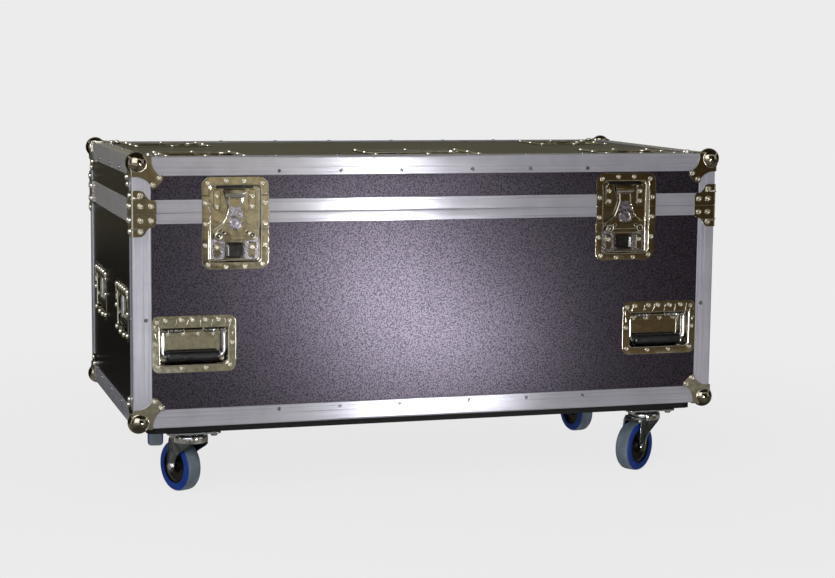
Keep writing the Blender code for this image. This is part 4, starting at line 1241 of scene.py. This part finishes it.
for depth, side in CORNERS:
    name = f"{depth}_{side}"
    plate, fork, wheel = f"castor_plate_{name}", f"castor_fork_{name}", f"castor_wheel_{name}"
    foot, swivel = castor_places(name)
    finish(f"castor_top_plate_{name}", [castor_plate], ZINC, "base", [plate], foot, bevel=0.4)
    finish(f"castor_crown_{name}", [castor_crown], CHROME, fork, place=swivel)
    finish(f"castor_legs_{name}", [castor_legs], FORK_STEEL, fork, [fork], swivel, bevel=0.4)
    finish(f"castor_axle_{name}", [axle], CHROME, fork, place=swivel)
    for part, profiles, paint in (("hub", [HUB], NYLON), ("ring", [BLUE_RING, FAR_RING], BLUE_RUBBER),
                                  ("tread", [TREAD], TREAD_RUBBER)):
        finish(f"wheel_{part}_{name}", [lambda bm: wheel_form(bm, *profiles)], paint, wheel,
               [wheel] if part == "hub" else (), swivel)
print("4 castors made")

# %% [markdown]
# ## Lining
# Inside, thin needle-felt carpet is glued to the walls, the floor and the lid. Each sheet is a thin slab
# with holes where the handle pans and the castor cups come through the plywood, so that the felt never
# crosses them.

# %% Felt sheets
FELT_THICK = 2.4
MARGIN = 3.0
SHEET_IN = LAMINATE + PANEL + FELT_THICK + 0.1
INSIDE_X, INSIDE_Y = HALF_X - RIM_INSIDE - FELT_THICK, HALF_Y - RIM_INSIDE - FELT_THICK
INWARD = Matrix.Diagonal((-1, 1, -1, 1))
WALLS = {"front": (0, -1, 0), "rear": (0, 1, 0), "left": (-1, 0, 0), "right": (1, 0, 0)}


def felt_sheet(bm, x, y, place, holes=()):
    """A sheet in X and Y with square holes, made of the strips between them."""
    edges_x = sorted({*x, *[v for hole in holes for v in hole[0]]})
    edges_y = sorted({*y, *[v for hole in holes for v in hole[1]]})
    verts = {}
    for ya, yb in zip(edges_y, edges_y[1:]):
        for xa, xb in zip(edges_x, edges_x[1:]):
            at_x, at_y = (xa + xb) / 2, (ya + yb) / 2
            if any(hx[0] < at_x < hx[1] and hy[0] < at_y < hy[1] for hx, hy in holes):
                continue
            corners = []
            for point in ((xa, ya), (xb, ya), (xb, yb), (xa, yb)):
                if point not in verts:
                    verts[point] = bm.verts.new(place @ Vector((*point, 0)))
                corners.append(verts[point])
            bm.faces.new(corners)


def hole(centre_x, centre_y, pocket):
    """A pocket's outline with a margin, round a centre seen from inside."""
    (left, right), (bottom, top) = [(low - MARGIN, high + MARGIN) for low, high in pocket[:2]]
    return (left - centre_x, right - centre_x), (centre_y + bottom, centre_y + top)


def lining(bm, place, flat_holes, heights, with_handles):
    """Felt on the floor or under the lid, and on the four walls around it."""
    felt_sheet(bm, (-INSIDE_X, INSIDE_X), (-INSIDE_Y, INSIDE_Y), place, flat_holes)
    for wall, outward in WALLS.items():
        face = facing((outward[0] * INSIDE_X, outward[1] * INSIDE_Y, 0), outward)
        half = INSIDE_Y if outward[0] else INSIDE_X
        handles = [name for name in HANDLES if name.startswith(wall) and with_handles]
        centres = [face.inverted() @ handle_place(name).translation for name in handles]
        holes = [hole(centre.x, centre.y, HANDLE_POCKET) for centre in centres]
        felt_sheet(bm, (-half, half), heights, face @ INWARD, holes)


def base_lining(bm):
    lining(bm, Matrix.Translation((0, 0, SHEET_IN)), (), (SHEET_IN + 0.3, SPLIT - BASE_RIM - 0.6), True)


def lid_lining(bm):
    ceiling = HEIGHT - SHEET_IN
    cups = [box_mm(f"castor_cup_{depth}_{side}")[2] for depth, side in CORNERS]
    holes = [hole(cup.x, cup.y, CUP_POCKET) for cup in cups]
    heights = (SPLIT + LID_RIM + 0.6, ceiling - 0.3)
    lining(bm, Matrix.Translation((0, 0, ceiling)) @ INWARD, holes, heights, False)


for level, draw in (("base", base_lining), ("lid", lid_lining)):
    finish(f"{level}_felt_lining", [draw], FELT, level, closed=False, wall=FELT_THICK - 0.2)
print("lining glued in")

# %% [markdown]
# ## Hinge
# The rear edge has a continuous hinge: two long leaves, whose knuckles take turns along one pin. A row of
# equal knuckles is what Geometry Nodes are good at: one cylinder, repeated on points along a line. The
# base's row and the lid's row are the same tree on other points.

# %% Trees that repeat things
def new_tree(name, sizes):
    """A geometry tree whose inputs are the points, a material and the named sizes."""
    tree = bpy.data.node_groups.new(name, "GeometryNodeTree")
    face = tree.interface
    face.new_socket("Geometry", in_out="INPUT", socket_type="NodeSocketGeometry")
    face.new_socket("Material", in_out="INPUT", socket_type="NodeSocketMaterial")
    for label, value in sizes.items():
        kind = "NodeSocketInt" if isinstance(value, int) else "NodeSocketFloat"
        face.new_socket(label, in_out="INPUT", socket_type=kind).default_value = value
    face.new_socket("Geometry", in_out="OUTPUT", socket_type="NodeSocketGeometry")
    return tree, node(tree, "NodeGroupInput").outputs


def first(tree, kind, inputs=None, **settings):
    """A node's first output."""
    return node(tree, kind, inputs, **settings).outputs[0]


def joined(tree, *parts):
    made = node(tree, "GeometryNodeJoinGeometry")
    for part in parts:
        tree.links.new(part, made.inputs[0])
    return made.outputs[0]


def wire(tree, resolution, radius):
    return first(tree, "GeometryNodeCurvePrimitiveCircle", {"Resolution": resolution, "Radius": radius})


def barrel(tree, facets, radius, depth):
    return first(tree, "GeometryNodeMeshCylinder", {"Vertices": facets, "Radius": radius, "Depth": depth})


def end_tree(tree, given, shape):
    """Stand a shape on each point along its axis, make it real and give it its material."""
    axis = first(tree, "GeometryNodeInputNamedAttribute", {"Name": "axis"}, data_type="FLOAT_VECTOR")
    size = first(tree, "GeometryNodeInputNamedAttribute", {"Name": "size"}, data_type="FLOAT")
    turn = first(tree, "FunctionNodeAlignRotationToVector", {"Vector": axis}, axis="Z")
    smooth = first(tree, "GeometryNodeSetShadeSmooth", {"Geometry": shape, "Shade Smooth": True})
    stood = first(tree, "GeometryNodeInstanceOnPoints", {
        "Points": given["Geometry"], "Instance": smooth, "Rotation": turn, "Scale": size})
    real = first(tree, "GeometryNodeRealizeInstances", {"Geometry": stood})
    painted = first(tree, "GeometryNodeSetMaterial", {"Geometry": real, "Material": given["Material"]})
    node(tree, "NodeGroupOutput", {"Geometry": painted})
    return tree


def grow(name, spots, tree, paint, body, sizes):
    """Run a tree on (point, axis, size) spots and keep the result as one plain mesh on a body."""
    mesh = bpy.data.meshes.new(name)
    mesh.from_pydata([TO_METRES @ point for point, _, _ in spots], [], [])
    axes = mesh.attributes.new("axis", "FLOAT_VECTOR", "POINT")
    axes.data.foreach_set("vector", [value for _, axis, _ in spots for value in axis])
    scales = mesh.attributes.new("size", "FLOAT", "POINT")
    scales.data.foreach_set("value", [size for _, _, size in spots])
    piece = in_scene(name, mesh)
    modifier = modify(piece, "NODES", node_group=tree)
    values = {**sizes, "Material": paint}
    for item in tree.interface.items_tree:
        if item.item_type == "SOCKET" and item.in_out == "INPUT" and item.name in values:
            modifier[item.identifier] = values[item.name]
    settle(piece, body)
    print(name, "has", len(spots), "copies and", len(piece.data.polygons), "faces")


# %% Hinge leaves and knuckles
HINGE_Y = HALF_Y + 5.0
HINGE_HALF = box_mm("hinge_base_leaf")[1].x
HINGE_FACE = HALF_Y + CLEAR
KNUCKLES = 45
KNUCKLE_RADIUS = 4.0
PITCH = 2 * HINGE_HALF / KNUCKLES
LEAF = 1.2
HINGE_RIVETS = 12


def knuckle_tree():
    tree, given = new_tree("hinge_knuckles", {"Radius": 0.004, "Length": 0.024, "Facets": 20})
    return end_tree(tree, given, barrel(tree, given["Facets"], given["Radius"], given["Length"]))


def hinge_leaf(bm, sign):
    """The leaf on the case's back, a curled tab to each knuckle of its own, and the pin on the base's."""
    block(bm, (-HINGE_HALF, HINGE_HALF), (HINGE_FACE, HINGE_FACE + LEAF),
          sorted((SPLIT + sign * 4.6, SPLIT + sign * 20.0)))
    for i in range((sign + 1) // 2, KNUCKLES, 2):
        start = -HINGE_HALF + i * PITCH + CLEAR
        block(bm, (start, start + PITCH - 2 * CLEAR), (HINGE_FACE, HINGE_Y - 1.5),
              sorted((SPLIT + sign * CLEAR, SPLIT + sign * 5.0)))
    if sign < 0:
        rod(bm, (-HINGE_HALF, HINGE_Y, SPLIT), (HINGE_HALF, HINGE_Y, SPLIT), 2.0, 16, 0.3)


KNUCKLE_TREE = knuckle_tree()
for level, sign in (("base", -1), ("lid", 1)):
    finish(f"{level}_hinge_leaf", [lambda bm: hinge_leaf(bm, sign)], ZINC, level, [f"hinge_{level}_leaf"])
    spots = [(Vector((-HINGE_HALF + (i + 0.5) * PITCH, HINGE_Y, SPLIT)), (1, 0, 0), 1.0)
             for i in range((sign + 1) // 2, KNUCKLES, 2)]
    grow(f"{level}_hinge_knuckles", spots, KNUCKLE_TREE, ZINC, level,
         {"Radius": KNUCKLE_RADIUS * MM, "Length": (PITCH - 2 * CLEAR) * MM, "Facets": 20})
    for i in range(HINGE_RIVETS):
        x = -HINGE_HALF + (i + 0.5) * 2 * HINGE_HALF / HINGE_RIVETS
        rivet(level, (x, HINGE_FACE + LEAF, SPLIT + sign * 13.0), outward=(0, 1, 0))
print("hinge is", round(2 * HINGE_HALF), "mm long with", KNUCKLES, "knuckles")

# %% [markdown]
# ## Rivets
# Hundreds of rivets hold the case together. Their places have been noted while the pieces were made, and the
# rows along the extrusions are added here. They are blind rivets: a ring with a round back, with the pin's
# stub left in the hole, both squashed to a low height and half sunk in the metal. Each body has one mesh for
# its bright rivets and one for the darker ones in the rails, whose darker steel is painted shade.

# %% Rivets along the extrusions
FRONT_ROW = (72.5, 195.0, 317.0)
END_ROW = (-140.0, 0.0, 140.0)
ROW_INSET = 27.5
UPRIGHT_INSET = 25.0
UPRIGHT_Z = 209.0
RAIL_RIVET = 3.9
RIVET_HEIGHT = 0.58


def rail_rivet(level, x, y, z, outward):
    rivet(level, (x, y, z), outward=outward, radius=RAIL_RIVET, kind=RAIL_RIVETS)


for sign in (-1, 1):
    for level, z, edge_z, out in (("base", ROW_INSET, 0.0, -1), ("lid", HEIGHT - 28.0, HEIGHT, 1)):
        for x in [side * x for x in FRONT_ROW for side in (-1, 1)]:
            rail_rivet(level, x, sign * HALF_Y, z, (0, sign, 0))
            rail_rivet(level, x, sign * (HALF_Y - ROW_INSET), edge_z, (0, 0, out))
        for y in END_ROW:
            rail_rivet(level, sign * HALF_X, y, z, (sign, 0, 0))
            rail_rivet(level, sign * (HALF_X - ROW_INSET), y, edge_z, (0, 0, out))
    for side in (-1, 1):
        rail_rivet("base", side * (HALF_X - UPRIGHT_INSET), sign * HALF_Y, UPRIGHT_Z, (0, sign, 0))
        rail_rivet("base", side * HALF_X, sign * (HALF_Y - UPRIGHT_INSET), UPRIGHT_Z, (side, 0, 0))


def rivet_tree():
    tree, given = new_tree("blind_rivets", {"Radius": 0.001, "Height": 0.0006, "Segments": 18})
    middle, roll, stub = [first(tree, "ShaderNodeMath", {0: given["Radius"], 1: share}, operation="MULTIPLY")
                          for share in (0.6, 0.4, 0.16)]
    head = first(tree, "GeometryNodeCurveToMesh", {
        "Curve": wire(tree, given["Segments"], middle), "Profile Curve": wire(tree, 10, roll)})
    pin = first(tree, "GeometryNodeMeshUVSphere", {"Segments": 10, "Rings": 6, "Radius": stub})
    squash = first(tree, "ShaderNodeMath", {0: given["Height"], 1: roll}, operation="DIVIDE")
    shape = first(tree, "ShaderNodeCombineXYZ", {"X": 1.0, "Y": 1.0, "Z": squash})
    dome = first(tree, "GeometryNodeTransform", {"Geometry": joined(tree, head, pin), "Scale": shape})
    return end_tree(tree, given, dome)


RIVET_TREE = rivet_tree()
RIVET_SIZES = {"Radius": MM, "Height": RIVET_HEIGHT * MM, "Segments": 18}
for body in RIVETS:
    grow(f"{body}_rivets", RIVETS[body], RIVET_TREE, RIVET_STEEL, body, RIVET_SIZES)
    grow(f"{body}_rail_rivets", RAIL_RIVETS[body], RIVET_TREE, RAIL_RIVET_STEEL_PAINTED_SHADE, body, RIVET_SIZES)

# %% [markdown]
# ## Castor bolts and springs
# The castor plates are held by hexagon bolts with washers, and each handle has two coil springs on its rod.
# Both are shapes stood on points again. The spring's coil is a spiral curve given a round section.

# %% Bolts and springs
BOLT_X, BOLT_Y = 40.0, 30.0
BOLT_HEIGHT = 9.0
SPRING_LENGTH = 22.0
SPRING_STARTS = (-44.0, 22.0)


def bolt_tree():
    tree, given = new_tree("hexagon_bolts", {"Across": 0.0065, "Height": 0.005, "Washer": 0.0085})
    head = barrel(tree, 6, given["Across"], given["Height"])
    washer = barrel(tree, 28, given["Washer"], 0.0024)
    return end_tree(tree, given, joined(tree, head, washer))


def spring_tree():
    tree, given = new_tree("coil_springs", {"Radius": 0.0045, "Wire": 0.0008, "Turns": 7.0, "Length": 0.022})
    coil = first(tree, "GeometryNodeCurveSpiral", {
        "Resolution": 16, "Rotations": given["Turns"], "Start Radius": given["Radius"],
        "End Radius": given["Radius"], "Height": given["Length"]})
    body = first(tree, "GeometryNodeCurveToMesh", {
        "Curve": coil, "Profile Curve": wire(tree, 6, given["Wire"]), "Fill Caps": True})
    return end_tree(tree, given, body)


bolt_spots = []
for depth, side in CORNERS:
    foot, _ = castor_places(f"{depth}_{side}")
    for x, y in ((-BOLT_X, -BOLT_Y), (-BOLT_X, BOLT_Y), (BOLT_X, -BOLT_Y), (BOLT_X, BOLT_Y)):
        bolt_spots.append((foot @ Vector((x, y, PLATE_BOTTOM - 1.0)), (0, 0, -1), 1.0))
spring_spots = []
for place in map(handle_place, HANDLES):
    along = place.to_3x3() @ Vector((1, 0, 0))
    spring_spots += [(place @ Vector((x, PIVOT_Y, PIVOT_Z)), along, 1.0) for x in SPRING_STARTS]
grow("castor_bolts", bolt_spots, bolt_tree(), CHROME, "base", {"Height": BOLT_HEIGHT * MM})
grow("handle_springs", spring_spots, spring_tree(), CHROME, "base", {"Length": SPRING_LENGTH * MM})

# %% [markdown]
# ## Studio
# The case stands on a pale floor that runs out to a pale sky of the same tone. Near the case the floor is
# mostly an even glow with a little real paint, so it keeps a faint shadow; far out it is all glow, so that
# there is no horizon. A soft lamp stands to the left, two small flashes near the floor give the glow on the
# front, and cards that only gloss can see give the plated steel something to reflect.

# %% Floor and sky
PALE = "#ececec"
SKY_LEVEL = 0.42
FLOOR_RADIUS = 60.0


def glowing(tree, shader, surface):
    """Put another surface in the principled shader's place."""
    output = shader.outputs["BSDF"].links[0].to_node
    tree.links.new(surface, output.inputs["Surface"])
    tree.nodes.remove(shader)


def pale_floor():
    made, tree, shader, here = new_material("pale_floor_paint")
    paint = first(tree, "ShaderNodeBsdfDiffuse", {"Color": colour(PALE)})
    glow = first(tree, "ShaderNodeEmission", {"Color": colour(PALE), "Strength": 1.0})
    distance = node(tree, "ShaderNodeVectorMath", {0: here}, operation="LENGTH").outputs["Value"]
    far = between(tree, distance, 0.7, 1.8, 0.93, 1.0)
    glowing(tree, shader, first(tree, "ShaderNodeMixShader", {0: far, 1: paint, 2: glow}))
    return made


def sky():
    """Full strength to the camera and to reflections, weaker as a light."""
    world = bpy.data.worlds.new("studio_sky")
    world.use_nodes = True
    tree = world.node_tree
    tree.nodes.clear()
    path = node(tree, "ShaderNodeLightPath").outputs
    seen = path["Is Camera Ray"]
    for ray in ("Is Glossy Ray", "Is Transmission Ray"):
        seen = first(tree, "ShaderNodeMath", {0: seen, 1: path[ray]}, operation="MAXIMUM")
    level = between(tree, seen, 0.0, 1.0, SKY_LEVEL, 1.0)
    glow = first(tree, "ShaderNodeBackground", {"Color": colour(PALE), "Strength": level})
    node(tree, "ShaderNodeOutputWorld", {"Surface": glow})
    bpy.context.scene.world = world


sky()
form = bmesh.new()
bmesh.ops.create_circle(form, cap_ends=True, segments=96, radius=FLOOR_RADIUS)
floor_object = in_scene("pale_floor", bpy.data.meshes.new("pale_floor"))
form.to_mesh(floor_object.data)
form.free()
floor_object.data.materials.append(pale_floor())
floor_object.location.z = -0.0005
print("floor laid")

# %% Cards for reflections
FLAT = Matrix()
UPRIGHT = Matrix.Rotation(pi / 2, 4, "X")
SIDEWAYS = UPRIGHT @ Matrix.Rotation(pi / 2, 4, "Y")


def card(name, place, turn, width, height, *tints):
    """A card that only reflections see, clouded from its first tint on the left to its second."""
    made, tree, shader, here = new_material(name)
    across = node(tree, "ShaderNodeSeparateXYZ", {0: here}).outputs["X"]
    cloud = between(tree, noise(tree, here, 1000 / 1.3, 2.0), 0.35, 0.65, 0.0, 0.9)
    fade = between(tree, across, -width / 2, width / 2, -0.4, 0.5)
    mixed = first(tree, "ShaderNodeMath", {0: fade, 1: cloud}, operation="ADD", use_clamp=True)
    tone = blended(tree, mixed, *tints)
    glowing(tree, shader, first(tree, "ShaderNodeEmission", {"Color": tone, "Strength": 1.0}))
    corners = [(x * width / 2, y * height / 2, 0) for x, y in ((-1, -1), (1, -1), (1, 1), (-1, 1))]
    piece = in_scene(name, bpy.data.meshes.new(name))
    piece.data.from_pydata(corners, [], [(0, 1, 2, 3)])
    piece.data.materials.append(made)
    piece.matrix_world = Matrix.Translation(place) @ turn
    piece.visible_camera = False
    piece.visible_diffuse = False
    piece.visible_shadow = False
    piece.visible_transmission = False


card("rear_left_card", (-3.25, 4.5, 1.7), UPRIGHT, 5.5, 3.4, "#3f3d2e", "#55523f")
card("rear_right_card", (3.75, 4.5, 1.7), UPRIGHT, 8.5, 3.4, "#7c7860", "#68644e")
card("rear_floor_card", (1.0, 2.5, 0.004), FLAT, 14.0, 4.0, "#15150d", "#2a281c")
card("near_floor_card", (1.25, -0.5, 0.004), FLAT, 8.5, 2.0, "#a8a498", "#2c2414")
MIDDLE = (("left", -0.3, 0.7, "#9a9886", "#8c8a76"), ("right", 0.7, 5.5, "#64543a", "#241a0c"))
FAR = (("left", -0.5, 0.6, "#5f553e", "#6f6248"), ("middle", 0.6, 1.9, "#c4b896", "#8a7a54"),
       ("right", 1.9, 6.0, "#4a3a1e", "#1a1206"))
for name, row, y, z, turn, height in (("middle_floor", MIDDLE, -2.55, 0.004, FLAT, 2.1),
                                      ("far_floor", FAR, -5.1, 0.004, FLAT, 3.0),
                                      ("front", FAR, -6.6, 1.0, UPRIGHT, 2.0)):
    for part, start, end, *tints in row:
        card(f"{name}_{part}", ((start + end) / 2, y, z), turn, end - start, height, *tints)
card("shadow_floor_card", (0.32, -4.6, 0.006), FLAT, 0.34, 1.3, "#1a150d", "#2a2214")
card("front_top_card", (1.5, -6.6, 3.2), UPRIGHT, 9.0, 2.4, "#2c2418", "#15110a")
card("right_card", (6.95, 1.0, 1.6), SIDEWAYS, 7.0, 3.2, "#15110a", "#4a3f2a")
card("left_card", (-5.05, 2.5, 1.6), SIDEWAYS, 4.0, 3.2, "#15110a", "#4a3f2a")
card("left_post", (-5.05, -1.6, 1.6), SIDEWAYS, 1.2, 3.2, "#0a0908", "#15110a")
card("ceiling_card", (0.9, 0.4, 3.6), FLAT, 9.0, 7.0, "#2a281c", "#4d4936")
print("cards stood round the case")

# %% Lamps
def lamp(name, place, target, size, power):
    """A soft lamp that points at a target."""
    made = in_scene(name, bpy.data.lights.new(name, "AREA"))
    made.data.shape = "RECTANGLE"
    made.data.size, made.data.size_y = size
    made.data.energy = power
    aim = (Vector(target) - Vector(place)).to_track_quat("-Z", "Y").to_matrix().to_4x4()
    made.matrix_world = Matrix.Translation(place) @ aim
    made.visible_camera = False
    return made


lamp("high_flash", (0.52, -2.5, 0.15), (0, -0.3, 0.36), (0.16, 0.28), 12).visible_diffuse = False
lamp("low_flash", (0.46, -1.7, 0.065), (0, -0.3, 0.28), (0.36, 0.1), 5).visible_diffuse = False
lamp("front_softbox", (-1.5, -2.2, 1.7), (-0.3, 0, 0.3), (2.2, 2.2), 52)
print("three lamps")

# %% Colour management
bpy.context.scene.view_settings.view_transform = "Standard"
